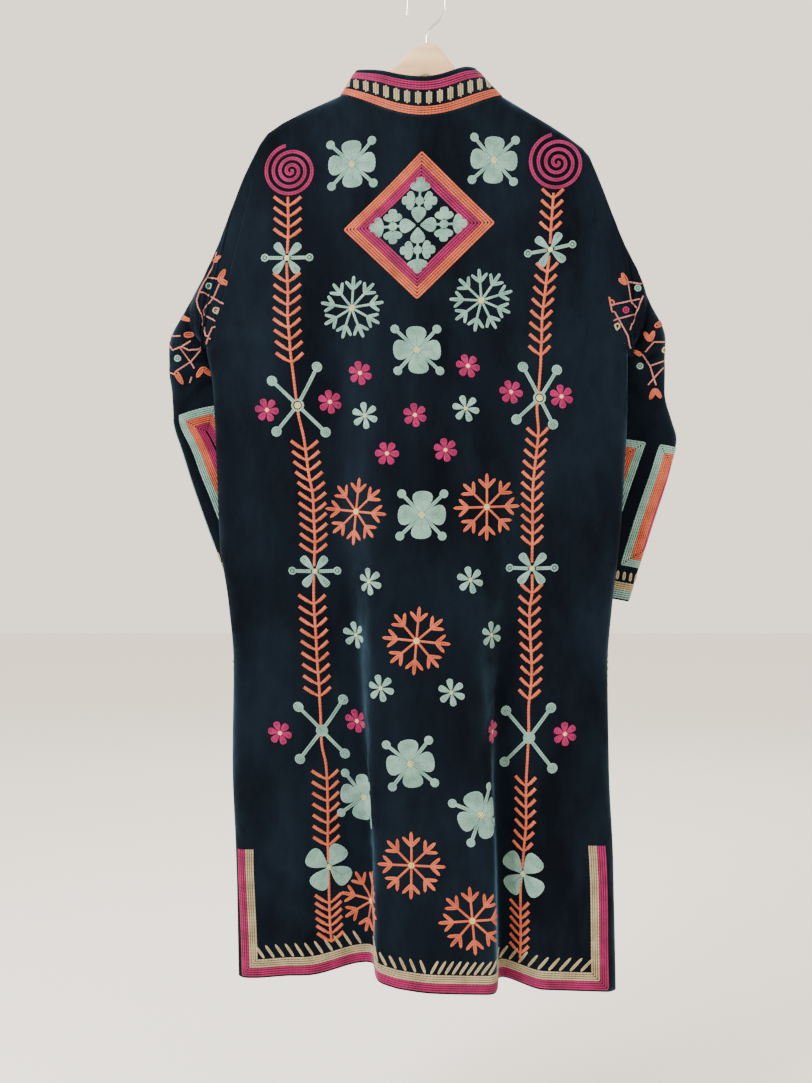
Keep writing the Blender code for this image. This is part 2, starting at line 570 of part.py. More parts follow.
def neckband_points(steps):
    """The neckband's middle layer: a column for each place round the neck seam."""
    top = np.array([0.0, ROLL_PART / 2])
    columns, first, last = back_columns()
    back = back_points(columns, top)[0, first:last + 1]
    fronts = []
    for side in (-1, 1):
        places, neck = front_columns(side)
        fronts.append(front_points(side, places, top)[0, neck + 1:])
    base = np.concatenate([fronts[0][::-1], back, fronts[1]])
    length = np.concatenate([[0], np.cumsum(np.linalg.norm(np.diff(base, axis=0), axis=1))])
    corners = [len(fronts[0]), len(fronts[0]) + last - first]
    part = np.interp(length, [0, length[corners[0]], length[corners[1]], length[-1]],
                     [0, *NECK_CORNERS, 1])
    keys = column(NECKBAND, "part")
    lean = smooth(keys, column(NECKBAND, "lean_x"), part)
    height = smooth(keys, column(NECKBAND, "height"), part)
    up = np.stack([lean, 0 * lean, np.sqrt(1 - lean ** 2)], axis=-1)
    above = sum(np.exp(-((part - corner) / 0.03) ** 2) for corner in NECK_CORNERS)
    lift = SEAM_GAP + WALL * 0.75 * above
    rise = np.linspace(0, 1, steps + 1)[:, None, None]
    return base[None] + up[None] * (lift[None, :, None] + rise * height[None, :, None])


def add_hanger(finish):
    """The shaped wooden hanger: oval sections along its arms and its middle hump."""
    left, right = HANGER_ENDS
    inner_left, inner_right = HANGER_MIDDLE[0].x, HANGER_MIDDLE[-1].x
    ends = HANGER_ROUND * (1 - np.cos(np.pi / 2 * np.linspace(0.12, 1, 5)))
    x = np.concatenate([
        left + ends, np.linspace(left + HANGER_ROUND, inner_left, HANGER_ARM_STEPS)[1:-1],
        np.linspace(inner_left, inner_right, HANGER_MIDDLE_STEPS),
        np.linspace(inner_right, right - HANGER_ROUND, HANGER_ARM_STEPS)[1:-1],
        right - ends[::-1]])
    middle = column(HANGER_MIDDLE, "x")
    on_arm = (x < inner_left) | (x > inner_right)
    arm_top = shoulder_height(x) - HANGER_CLEAR
    top = np.where(on_arm, arm_top, smooth(middle, column(HANGER_MIDDLE, "top"), x))
    bottom = np.where(on_arm, arm_top - ARM_HEIGHT,
                      smooth(middle, column(HANGER_MIDDLE, "bottom"), x))
    to_end = np.clip(np.minimum(x - left, right - x) / HANGER_ROUND, 0, 1)
    slim = np.sqrt(np.clip(1 - (1 - to_end) ** 2, 0, 1))
    turn = np.linspace(0, 2 * np.pi, HANGER_SIDES + 1)[:-1]
    oval_y = np.sign(np.cos(turn)) * np.abs(np.cos(turn)) ** OVAL_POWER
    oval_z = np.sign(np.sin(turn)) * np.abs(np.sin(turn)) ** OVAL_POWER
    half = (top - bottom) / 2 * slim
    thin = ARM_THICKNESS / 2 * (0.4 + 0.6 * slim)
    points = np.stack([np.repeat(x[:, None], HANGER_SIDES, axis=1), thin[:, None] * oval_y[None],
                       ((top + bottom) / 2)[:, None] + half[:, None] * oval_z[None]], axis=-1)
    return add_tube("hanger", points, finish)


def add_hook(finish):
    """The steel wire hook: stem, round bend and tip, in the hanger's plane."""
    stem = np.array(HOOK_STEM)
    bend = np.radians(np.linspace(0, 180, 15))
    centre = -(HOOK_RADIUS - WIRE_RADIUS)
    arc = np.stack([HOOK_RADIUS * np.cos(bend), centre + HOOK_RADIUS * np.sin(bend)], axis=1)
    path = np.concatenate([stem, arc, np.array(HOOK_TIP)])
    along = np.gradient(path, axis=0)
    along[0] = (0, 1)
    along /= np.linalg.norm(along, axis=1, keepdims=True)
    turn = np.linspace(0, 2 * np.pi, 9)[:-1]
    side = WIRE_RADIUS * np.cos(turn)
    x = path[:, :1] - along[:, 1:] * side[None]
    z = path[:, 1:] + along[:, :1] * side[None]
    y = np.broadcast_to(WIRE_RADIUS * np.sin(turn), x.shape)
    return add_tube("hook", np.stack([x, y, z], axis=-1), finish)


def add_tube(name, points, finish):
    """A solid bar through a row of rings, with flat ends."""
    rows, around = points.shape[:2]
    index = np.arange(rows * around).reshape(rows, around)
    ahead = np.roll(index, -1, axis=1)
    sides = np.stack([index[:-1], ahead[:-1], ahead[1:], index[1:]], axis=-1).reshape(-1, 4)
    faces = [tuple(face) for face in sides.tolist()]
    faces += [tuple(index[0][::-1].tolist()), tuple(index[-1].tolist())]
    return add_object(name, points.reshape(-1, 3), faces, finish)


def build():
    """Clear the scene and make the robe, its hanger and the hook."""
    for item in list(bpy.data.objects):
        bpy.data.objects.remove(item, do_unlink=True)
    velvet = material("velvet", (0.008, 0.012, 0.022), 0.8)
    wood = material("wood", (0.62, 0.42, 0.24), 0.45)
    steel = material("steel", (0.75, 0.75, 0.76), 0.2, metallic=1.0)
    rows = body_rows()
    columns, first, last = back_columns()
    back = back_points(columns, rows)
    shoulders = np.r_[0:first + 1, last:len(columns)]
    add_object("back", *wall(back, panel_normals(back, rows, (0, -1), shoulders)), velvet)
    for side, name in ((-1, "left"), (1, "right")):
        columns, neck = front_columns(side)
        front = front_points(side, columns, rows)
        normal = panel_normals(front, rows, (0,), np.arange(neck + 1))
        add_object(f"front_{name}", *wall(front, normal), velvet)
        points, normal = sleeve_points(side, np.linspace(0, 1, SLEEVE_STEPS + 1), armhole_parts())
        add_object(f"sleeve_{name}", *wall(points, normal, around=True), velvet)
    band = neckband_points(BAND_STEPS)
    add_object("collar", *wall(band, normals(band)), velvet)
    add_hanger(wood)
    add_hook(steel)


build()
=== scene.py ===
# %% [markdown]
# # An Uzbek chapan robe on a wooden hanger
#
# This lesson rebuilds a long velvet robe, seen from its back, with its folk embroidery.
# The cloth is worked out as numpy surfaces, and the embroidery is sewn on it row by row.
# Metres, +Z up; the origin is the inside top of the hanger's hook, and the camera looks along +Y.

# %% Set up
from collections import namedtuple

import bpy
import numpy as np
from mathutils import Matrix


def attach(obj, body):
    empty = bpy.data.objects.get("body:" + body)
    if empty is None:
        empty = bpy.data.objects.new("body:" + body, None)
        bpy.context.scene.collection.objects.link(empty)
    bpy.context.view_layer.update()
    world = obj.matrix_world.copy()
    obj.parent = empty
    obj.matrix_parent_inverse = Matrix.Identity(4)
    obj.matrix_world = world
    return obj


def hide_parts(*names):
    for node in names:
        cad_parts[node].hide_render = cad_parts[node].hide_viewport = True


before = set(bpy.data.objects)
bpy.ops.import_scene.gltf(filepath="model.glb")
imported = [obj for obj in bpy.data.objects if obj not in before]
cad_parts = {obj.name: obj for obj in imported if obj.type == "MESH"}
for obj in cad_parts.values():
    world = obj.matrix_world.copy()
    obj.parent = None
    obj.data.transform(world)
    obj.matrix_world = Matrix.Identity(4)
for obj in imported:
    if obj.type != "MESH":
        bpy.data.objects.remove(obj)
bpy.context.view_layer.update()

# %% [markdown]
# ## Camera
#
# The photograph was taken level, about one and a half metres from the robe.
# PHOTO gives its size in pixels: later, places read off it are turned into places on the cloth.

# %% Camera
PHOTO = (812, 1083)
CAMERA = (-0.028, -1.5, -0.754)
FOCAL_PX = 1111.0

camera = bpy.data.objects.new("camera", bpy.data.cameras.new("camera"))
camera.location = CAMERA
camera.rotation_euler = (np.pi / 2, 0, 0)
camera.data.sensor_width = 36
camera.data.lens = FOCAL_PX * 36 / PHOTO[1]
bpy.context.collection.objects.link(camera)
bpy.context.scene.camera = camera
print("camera at", CAMERA)


def to_photo(points):
    """Photo pixels of points: the pinhole rule, offset times focal length over depth."""
    depth = points[..., 1] - CAMERA[1]
    x = PHOTO[0] / 2 + FOCAL_PX * (points[..., 0] - CAMERA[0]) / depth
    y = PHOTO[1] / 2 - FOCAL_PX * (points[..., 2] - CAMERA[2]) / depth
    return np.stack([x, y], axis=-1)


# %% [markdown]
# ## Measures of the cloth
#
# A cutter would note the shoulder line, the armholes, the side seams and the hem.
# The tables below hold them, left and right, because the robe doesn't hang quite evenly.

# %% Measures
WALL = 0.002
SEAM_GAP = 0.0003
STAND_OFF = 0.014
SIDE_ROLL = STAND_OFF * np.pi / 2
ARMPIT_DROP = (0.493, 0.502)
HEM_DROP = (1.342, 1.349)
VENT_HEIGHT = 0.170
VENT_ROLL = np.radians(50)
CROWN = 0.007
FRONT_EDGE = 0.0025
FRONT_OPENING = 0.007
NECK_LEFT = (-0.1175, -0.155)
NECK_RIGHT = (0.104, -0.157)
BACK_NECK_DIP = 0.034
BACK_NECK_DEPTH = 0.028
FRONT_NECK_DROP = 0.285
FRONT_NECK_DEPTH = 0.024
NECK_SETTLE = 0.45
ROLL_PART = 0.0756          # share of the armhole that rounds each folded end
SLICES = 401

Shoulder = namedtuple("Shoulder", "x z")
SHOULDER_LINE = [
    Shoulder(-0.2225, -0.2185), Shoulder(-0.213, -0.205), Shoulder(-0.193, -0.191),
    Shoulder(-0.165, -0.1765), Shoulder(*NECK_LEFT), Shoulder(*NECK_RIGHT),
    Shoulder(0.140, -0.179), Shoulder(0.165, -0.194), Shoulder(0.188, -0.209),
    Shoulder(0.208, -0.224), Shoulder(0.2165, -0.2345),
]
Edge = namedtuple("Edge", "part left right")
ARMHOLE = [
    Edge(0.00, -0.2225, 0.2165), Edge(0.25, -0.2375, 0.2275), Edge(0.50, -0.254, 0.2355),
    Edge(0.75, -0.272, 0.245), Edge(0.87, -0.283, 0.252), Edge(1.00, -0.297, 0.270),
]
SIDE_SEAM = [
    Edge(0.00, -0.297, 0.270), Edge(0.065, -0.2875, 0.270), Edge(0.20, -0.282, 0.265),
    Edge(0.31, -0.278, 0.258), Edge(0.40, -0.267, 0.249), Edge(0.50, -0.260, 0.2425),
    Edge(0.66, -0.262, 0.2435), Edge(0.80, -0.258, 0.248), Edge(1.00, -0.254, 0.250),
]
SEAM_Y_AT_HEM = (0.012, -0.018)
print("chest laid flat", round(SIDE_SEAM[0].right - SIDE_SEAM[0].left, 3), "m")

# %% [markdown]
# ## Folds and hem
#
# A fold is kept as a slope that the cloth has at a place across it, so a row of cloth keeps its length.
# It begins at one drop below the hook and is full at another. The hem's tables lift the cut edge.

# %% Folds and hem
Fold = namedtuple("Fold", "at half_width slope begins full")
BACK_FOLDS = [
    Fold(0.200, 0.080, 16, 0.78, 1.26), Fold(0.345, 0.058, -84, 0.34, 1.15),
    Fold(0.700, 0.058, 84, 0.62, 1.16), Fold(0.800, 0.060, -32, 0.70, 1.22),
    Fold(0.060, 0.050, 14, 0.80, 1.25),
]
FRONT_FOLDS = [
    Fold(0.22, 0.10, 24, 0.86, 1.30), Fold(0.46, 0.10, -22, 0.80, 1.25),
    Fold(0.70, 0.10, 20, 0.62, 1.20), Fold(0.90, 0.08, -20, 0.60, 1.20),
]
Hem = namedtuple("Hem", "at lift")
BACK_HEM = [Hem(0.0, 0.0), Hem(0.15, 0.003), Hem(0.30, 0.018), Hem(0.37, 0.013), Hem(0.44, 0.003),
            Hem(0.52, -0.001), Hem(0.64, 0.0), Hem(0.74, 0.006), Hem(0.86, 0.0), Hem(1.0, 0.0)]
FRONT_HEM = [Hem(0.0, 0.0), Hem(0.25, 0.003), Hem(0.55, 0.016), Hem(1.0, 0.018)]
Front = namedtuple("Front", "drop y")
FRONT_CENTRE = [Front(FRONT_NECK_DROP, FRONT_NECK_DEPTH), Front(0.50, 0.018),
                Front(0.86, 0.022), Front(1.10, 0.045), Front(1.35, 0.064)]
print(len(BACK_FOLDS), "folds in the back,", len(FRONT_FOLDS), "in each front")


# %% [markdown]
# ## Curves through tables
#
# Every shape starts as a short table. A monotone cubic curve runs through its values without
# swinging past them, so a cuff never bulges between two measures.

# %% Curves
def column(table, name):
    """One named column of a table, as an array."""
    return np.array([getattr(row, name) for row in table])


def smooth(keys, values, at):
    """Cubic Hermite curve through values; each tangent is the harmonic mean of its two slopes."""
    keys = np.asarray(keys, float)
    values = np.asarray(values, float)
    step = np.diff(keys)
    rise = np.diff(values) / step
    tangent = np.zeros(len(keys))
    tangent[0] = rise[0]
    tangent[-1] = rise[-1]
    product = rise[1:] * rise[:-1]
    total = np.where(product > 0, rise[1:] + rise[:-1], 1.0)
    tangent[1:-1] = np.where(product > 0, 2 * product / total, 0.0)
    at = np.clip(at, keys[0], keys[-1])
    piece = np.clip(np.searchsorted(keys, at) - 1, 0, len(step) - 1)
    t = (at - keys[piece]) / step[piece]
    start = values[piece] * (1 + 2 * t) * (1 - t) ** 2
    end = values[piece + 1] * t * t * (3 - 2 * t)
    bend = step[piece] * t * (1 - t) * (tangent[piece] * (1 - t) - tangent[piece + 1] * t)
    return start + end + bend


def ease(x):
    """Soft S from 0 to 1: 3x^2 - 2x^3."""
    x = np.clip(x, 0, 1)
    return x * x * (3 - 2 * x)


def unit(vectors):
    """Vectors divided by their length."""
    return vectors / np.maximum(np.linalg.norm(vectors, axis=-1, keepdims=True), 1e-12)


def length_along(path):
    """Length from a path's start to each of its points: a running sum of its steps."""
    return np.concatenate([[0], np.cumsum(np.linalg.norm(np.diff(path, axis=0), axis=1))])


# %% [markdown]
# ## Over the hanger's arms
#
# The cloth bends over the ridge of the hanger's arms in a small round and hangs straight below it.
# The armhole is a flattened ring, so its places are shared out by the length round that ring.

# %% Over the hanger's arms
def shoulder_height(x):
    """Height of the ridge over the hanger's arms, straight between the table's places."""
    return np.interp(x, column(SHOULDER_LINE, "x"), column(SHOULDER_LINE, "z"))


def fold_angle(part):
    """Angle round the folded edge at each end of the armhole, 90 degrees between."""
    from_end = np.minimum(part, 1 - part) / ROLL_PART
    return np.clip(from_end, 0, 1) * np.pi / 2


def armhole_drop(part, round_off=STAND_OFF / (ARMPIT_DROP[0] + SHOULDER_LINE[0].z)):
    """Share of a flattened ring's length: 1 - cosine in its rounded ends, straight between."""
    angle = fold_angle(part)
    straight = round_off + (part - ROLL_PART) / (1 - 2 * ROLL_PART) * (1 - 2 * round_off)
    rounded = round_off * (1 - np.cos(angle))
    middle = (part > ROLL_PART) & (part < 1 - ROLL_PART)
    return np.where(middle, straight, np.where(part < 0.5, rounded, 1 - rounded))


# %% [markdown]
# ## Edges of the panels
#
# A row of cloth runs from one edge of a panel to the other. Rows from 0 to 1 go down the armhole, and
# rows from 1 to 2 down the side seam, where the cloth turns round the side until the vent opens.

# %% Edges of the panels
def body_edges(rows):
    """Left x, z, right x, z, side rounding and side y: tables read along armhole, then seam."""
    upper = armhole_drop(np.clip(rows, 0, 1))
    lower = np.clip(rows - 1, 0, 1)
    above = rows < 1
    parts = column(ARMHOLE, "part")
    seam_parts = column(SIDE_SEAM, "part")
    sides = []
    for side, name in enumerate(("left", "right")):
        x = np.where(above, smooth(parts, column(ARMHOLE, name), upper),
                     smooth(seam_parts, column(SIDE_SEAM, name), lower))
        top = SHOULDER_LINE[-side].z
        armpit = -ARMPIT_DROP[side]
        z = np.where(above, top + (armpit - top) * upper,
                     armpit + (-HEM_DROP[side] - armpit) * lower)
        sides += [x, z]
    to_armpit = 1 - fold_angle(np.maximum(np.clip(rows, 0, 1), 0.5)) / (np.pi / 2)
    vent_start = 1 - VENT_HEIGHT / (HEM_DROP[0] - ARMPIT_DROP[0])
    opened = ease((lower - vent_start) / (1 - vent_start))
    roll = np.pi / 2 * to_armpit ** 2 - (np.pi / 2 - VENT_ROLL) * opened
    seam_y = [end * ease((lower - 0.35) / 0.65) for end in SEAM_Y_AT_HEM]
    return (*sides, np.maximum(roll, 1e-4), *seam_y)


# %% [markdown]
# ## How a row of velvet lies
#
# Velvet hangs from the hanger's arms: flat over the shoulders, and in deeper folds towards the hem.
# Each row is laid by adding up the cosine and sine of its slope, which keeps the cloth's real length.

# %% Rows of cloth
def row_slopes(folds, drop):
    """Slope along each row: the sum of the folds' bumps (1 - r^4)^2, grown with the drop."""
    at = np.linspace(0, 1, SLICES)
    slope = np.zeros((len(drop), SLICES))
    for fold in folds:
        reach = np.clip(np.abs(at - fold.at) / fold.half_width, 0, 1)
        grown = ease((drop - fold.begins) / (fold.full - fold.begins))
        slope += np.radians(fold.slope) * grown[:, None] * ((1 - reach ** 4) ** 2)[None, :]
    return slope


def lay_rows(across, x0, x1, y0, y1, roll, slope, face, rolls_at_end):
    """x and y of each row: running sums of cosine and sine of the slope, arcs round the sides."""
    step = 1 / (SLICES - 1)
    run = np.zeros(slope.shape)
    rise = np.zeros(slope.shape)
    run[:, 1:] = np.cumsum((np.cos(slope[:, 1:]) + np.cos(slope[:, :-1])) / 2, axis=1) * step
    rise[:, 1:] = np.cumsum((np.sin(slope[:, 1:]) + np.sin(slope[:, :-1])) / 2, axis=1) * step
    length = (x1 - x0 - STAND_OFF * (2 if rolls_at_end else 1)) / run[:, -1]
    miss = (y1 - y0) - length * rise[:, -1]
    inside = np.clip(across, 0, 1) * (SLICES - 1)
    low = np.minimum(inside.astype(int), SLICES - 2)
    share = inside - low
    far = run[:, low] * (1 - share) + run[:, low + 1] * share
    deep = rise[:, low] * (1 - share) + rise[:, low + 1] * share
    x = (x0 + STAND_OFF)[:, None] + length[:, None] * far
    y = y0[:, None] + length[:, None] * deep + miss[:, None] * np.clip(across, 0, 1)[None, :]
    for beyond, sign in ((np.clip(-across, 0, 1), -1), (np.clip(across - 1, 0, 1), 1)):
        turn = roll[:, None] * beyond[None, :]
        x = x + sign * STAND_OFF * np.sin(turn) / np.sin(roll)[:, None]
        y = y - face * SIDE_ROLL / roll[:, None] * (1 - np.cos(turn))
    return x, y


# %% [markdown]
# ## The back's surface
#
# The back is one surface of two parameters, across and down. Its rows give x and y, and its height
# is blended from the shoulder line and the dipped neck to the armpits, and from there to the hem.

# %% The back's surface
def settle_top(y, rows, neck_blend, neck_y, face):
    """Cloth reaches its depth by a sine over the shoulder ridge, by a soft S below the neck."""
    part = np.clip(rows, 0, 1)[:, None]
    over = np.where(part < 0.5, np.sin(fold_angle(part)), 1.0)
    reached = over * (1 - neck_blend) + ease(part / NECK_SETTLE) * neck_blend
    return neck_y * (1 - reached) + y * reached + face * SEAM_GAP / 2


def back_points(across, rows):
    """The back's middle layer: laid rows, their height blended from shoulder to armpit to hem."""
    left_x, left_z, right_x, right_z, roll, left_y, right_y = body_edges(rows)
    drop = -(left_z + right_z) / 2
    slope = row_slopes(BACK_FOLDS, drop)
    at = np.linspace(0, 1, SLICES)
    flat = ease((drop - 0.24) / 0.15) * (1 - 0.6 * ease((drop - 0.9) / 0.3))
    slope -= (CROWN * np.pi / 0.55) * flat[:, None] * np.cos(np.pi * at)[None, :]
    x, y = lay_rows(across, left_x, right_x, left_y - STAND_OFF, right_y - STAND_OFF,
                    roll, slope, -1, True)
    a = (x - left_x[:, None]) / (right_x - left_x)[:, None]
    part = np.clip(rows, 0, 1)[:, None]
    lower = np.clip(rows - 1, 0, 1)[:, None]
    top_x = SHOULDER_LINE[0].x + (SHOULDER_LINE[-1].x - SHOULDER_LINE[0].x) * a
    k = np.clip((top_x - NECK_LEFT[0]) / (NECK_RIGHT[0] - NECK_LEFT[0]), 0, 1)
    top_line = shoulder_height(top_x) - BACK_NECK_DIP * np.sin(np.pi * k) ** 1.3
    lift = smooth(column(BACK_HEM, "at"), column(BACK_HEM, "lift"), across)[None, :]
    neck_blend = np.minimum(1, 1.6 * np.sin(np.pi * k)) * (rows < 1)[:, None]
    upper = armhole_drop(part) * (1 - neck_blend) + part * neck_blend
    armpit_line = -ARMPIT_DROP[0] + (ARMPIT_DROP[0] - ARMPIT_DROP[1]) * a
    hem_line = -HEM_DROP[0] + (HEM_DROP[0] - HEM_DROP[1]) * a + lift * lower
    z = np.where(rows[:, None] < 1, top_line * (1 - upper) + armpit_line * upper,
                 armpit_line * (1 - lower) + hem_line * lower)
    neck_y = -BACK_NECK_DEPTH * np.sin(np.pi * k) ** 0.4
    y = settle_top(y, rows, neck_blend, neck_y, -1)
    return np.stack([x, y, z], axis=-1)


# %% [markdown]
# ## A front's surface
#
# A front is laid in the same way from its side edge to the opening, with the neck cut down to a point.
# The right front is worked out like the left one and turned over in x, so one function makes both.

# %% A front's surface
def front_points(side, across, rows):
    """One front's middle layer, worked out as the left one and turned over in x for the right."""
    left_x, left_z, right_x, right_z, roll, left_y, right_y = body_edges(rows)
    if side < 0:
        edge_x, edge_y, neck, tip = left_x, left_y, NECK_LEFT, SHOULDER_LINE[0]
        armpit, hem = -ARMPIT_DROP[0], -HEM_DROP[0]
    else:
        edge_x, edge_y, neck, tip = -right_x, right_y, NECK_RIGHT, SHOULDER_LINE[-1]
        armpit, hem = -ARMPIT_DROP[1], -HEM_DROP[1]
    upper = armhole_drop(np.clip(rows, 0, 1))
    lower = np.clip(rows - 1, 0, 1)
    bottom = -(left_z + right_z) / 2
    drop = np.where(rows < 1, FRONT_NECK_DROP * (1 - upper) + bottom * upper, bottom)
    centre_y = smooth(column(FRONT_CENTRE, "drop"), column(FRONT_CENTRE, "y"), drop)
    middle = -side * (NECK_LEFT[0] + NECK_RIGHT[0]) / 2
    open_x = middle - FRONT_EDGE - (FRONT_OPENING - FRONT_EDGE) * lower
    slope = row_slopes(FRONT_FOLDS, drop)
    x, y = lay_rows(across, edge_x, open_x, edge_y + STAND_OFF, centre_y, roll, slope, 1, False)
    a = (x - edge_x[:, None]) / (open_x - edge_x)[:, None]
    tip_x = -abs(tip.x)
    neck_x = -abs(neck[0])
    top_x = tip_x + (open_x[0] - tip_x) * a
    k = np.clip((top_x - neck_x) / (open_x[0] - neck_x), 0, 1)
    neckline = neck[1] - (FRONT_NECK_DROP + neck[1]) * k ** 1.15
    top_line = np.where(k > 0, neckline, shoulder_height(-side * top_x))
    neck_blend = np.minimum(1, 3.2 * k) * (rows < 1)[:, None]
    part = np.clip(rows, 0, 1)[:, None]
    eased = armhole_drop(part) * (1 - neck_blend) + part * neck_blend
    armpit_line = armpit * (1 - a) - np.mean(ARMPIT_DROP) * a
    lift = smooth(column(FRONT_HEM, "at"), column(FRONT_HEM, "lift"), across)[None, :]
    hem_line = hem * (1 - a) - np.mean(HEM_DROP) * a + lift * lower[:, None]
    z = np.where(rows[:, None] < 1, top_line * (1 - eased) + armpit_line * eased,
                 armpit_line * (1 - lower[:, None]) + hem_line * lower[:, None])
    neck_y = FRONT_NECK_DEPTH * np.sin(np.pi / 2 * k) ** 0.3
    y = settle_top(y, rows, neck_blend, neck_y, 1)
    return np.stack([-side * x, y, z], axis=-1)


# %% [markdown]
# ## Creases
#
# Where the cloth was folded in a drawer, or pulls from a seam, it keeps soft lines.
# Each crease is a line on the flattened piece with a Gaussian cross-section, faded at both ends.

# %% Creases
Crease = namedtuple("Crease", "x0 z0 x1 z1 width height")
BACK_CREASES = [
    Crease(-0.092, -0.40, -0.100, -0.80, 0.010, 0.0022),
    Crease(-0.118, -0.44, -0.122, -0.74, 0.012, -0.0018),
    Crease(0.010, -0.62, 0.013, -1.18, 0.010, 0.0016),
    Crease(0.056, -0.55, 0.060, -0.98, 0.011, 0.0020),
    Crease(0.104, -0.40, 0.118, -0.90, 0.012, -0.0018),
    Crease(0.165, -0.858, 0.247, -0.862, 0.008, 0.0032),
    Crease(0.150, -0.875, 0.245, -0.882, 0.010, -0.0024),
    Crease(-0.232, -1.195, -0.165, -1.250, 0.012, 0.0034),
    Crease(-0.240, -1.160, -0.190, -1.205, 0.011, -0.0022),
    Crease(-0.285, -0.520, -0.235, -0.600, 0.013, 0.0040),
    Crease(-0.285, -0.560, -0.240, -0.655, 0.012, -0.0032),
    Crease(-0.275, -0.470, -0.200, -0.500, 0.012, 0.0030),
    Crease(0.262, -0.500, 0.205, -0.560, 0.013, 0.0038),
    Crease(0.262, -0.555, 0.215, -0.640, 0.012, -0.0030),
    Crease(-0.215, -0.290, -0.165, -0.420, 0.016, 0.0020),
    Crease(0.205, -0.300, 0.170, -0.430, 0.016, 0.0020),
    Crease(-0.150, -0.215, -0.120, -0.300, 0.012, -0.0014),
    Crease(0.130, -0.215, 0.105, -0.300, 0.012, -0.0014),
    Crease(-0.230, -0.760, -0.150, -0.800, 0.014, 0.0024),
    Crease(0.235, -0.720, 0.170, -0.770, 0.014, 0.0022),
    Crease(-0.060, -0.980, -0.020, -1.060, 0.013, 0.0020),
    Crease(0.030, -1.050, 0.080, -1.130, 0.013, -0.0018),
]
FRONT_CREASES = [
    Crease(-0.285, -0.520, -0.235, -0.610, 0.013, 0.0036),
    Crease(-0.280, -0.570, -0.235, -0.660, 0.012, -0.0028),
    Crease(-0.105, -0.300, -0.095, -0.820, 0.012, 0.0020),
    Crease(-0.175, -0.330, -0.165, -0.720, 0.014, -0.0018),
    Crease(-0.060, -0.420, -0.050, -1.100, 0.012, -0.0016),
    Crease(-0.240, -0.860, -0.150, -0.866, 0.009, 0.0028),
    Crease(-0.235, -1.160, -0.150, -1.235, 0.013, 0.0030),
    Crease(-0.200, -0.250, -0.150, -0.360, 0.015, 0.0018),
]
print(len(BACK_CREASES), "creases in the back,", len(FRONT_CREASES), "in each front")


def creased(points, normal, creases, mirror=1):
    """Move points along their normals by each crease: height * exp(-(distance / width)^2)."""
    x, z = points[..., 0] * mirror, points[..., 2]
    move = np.zeros(x.shape)
    for crease in creases:
        run = np.array([crease.x1 - crease.x0, crease.z1 - crease.z0])
        length = np.hypot(*run)
        along = ((x - crease.x0) * run[0] + (z - crease.z0) * run[1]) / length ** 2
        off = ((x - crease.x0) * run[1] - (z - crease.z0) * run[0]) / length
        wander = 0.35 * crease.width * np.sin(5 * along + crease.x0 * 90)
        faded = ease((along + 0.25) / 0.45) * ease((1.25 - along) / 0.45)
        move += crease.height * faded * np.exp(-((off - wander) / crease.width) ** 2)
    return points + normal * move[..., None]


def normals(points):
    """Unit normals of a grid: the cross product of its two directions."""
    return unit(np.cross(np.gradient(points, axis=0), np.gradient(points, axis=1)))


# %% [markdown]
# ## A finish in two tones
#
# No dyed cloth or wood is one flat colour. A noise on Object coordinates moves the colour between
# a dark and a light tone, and a finer noise gives the bump. An image could do it, but would blur close up.

# %% A finish in two tones
def finish_with_noise(name, dark, light, scale, roughness, bump=0.0, bump_scale=0.0, detail=4.0,
                      stretch=(1, 1, 1)):
    """Principled finish whose colour moves between two tones by noise, with a fine bump."""
    finish = bpy.data.materials.new(name)
    finish.use_nodes = True
    tree = finish.node_tree
    shader = tree.nodes["Principled BSDF"]
    shader.inputs["Roughness"].default_value = roughness
    place = tree.nodes.new("ShaderNodeTexCoord")
    size = tree.nodes.new("ShaderNodeMapping")
    size.inputs["Scale"].default_value = stretch
    tree.links.new(place.outputs["Object"], size.inputs["Vector"])
    noise = tree.nodes.new("ShaderNodeTexNoise")
    noise.inputs["Scale"].default_value = scale
    noise.inputs["Detail"].default_value = detail
    tree.links.new(size.outputs["Vector"], noise.inputs["Vector"])
    ramp = tree.nodes.new("ShaderNodeValToRGB")
    ramp.color_ramp.elements[0].position = 0.32
    ramp.color_ramp.elements[0].color = (*dark, 1)
    ramp.color_ramp.elements[1].position = 0.70
    ramp.color_ramp.elements[1].color = (*light, 1)
    tree.links.new(noise.outputs["Fac"], ramp.inputs["Fac"])
    tree.links.new(ramp.outputs["Color"], shader.inputs["Base Color"])
    if bump:
        grain = tree.nodes.new("ShaderNodeTexNoise")
        grain.inputs["Scale"].default_value = bump_scale
        tree.links.new(size.outputs["Vector"], grain.inputs["Vector"])
        relief = tree.nodes.new("ShaderNodeBump")
        relief.inputs["Strength"].default_value = bump
        relief.inputs["Distance"].default_value = 0.001
        tree.links.new(grain.outputs["Fac"], relief.inputs["Height"])
        tree.links.new(relief.outputs["Normal"], shader.inputs["Normal"])
    return finish


# %% [markdown]
# ## Velvet
#
# This velvet is dark where you look down into the pile and blue-grey where you look along it.
# The sheen layer does that; a slow noise over the cloth lays the pile this way and that.

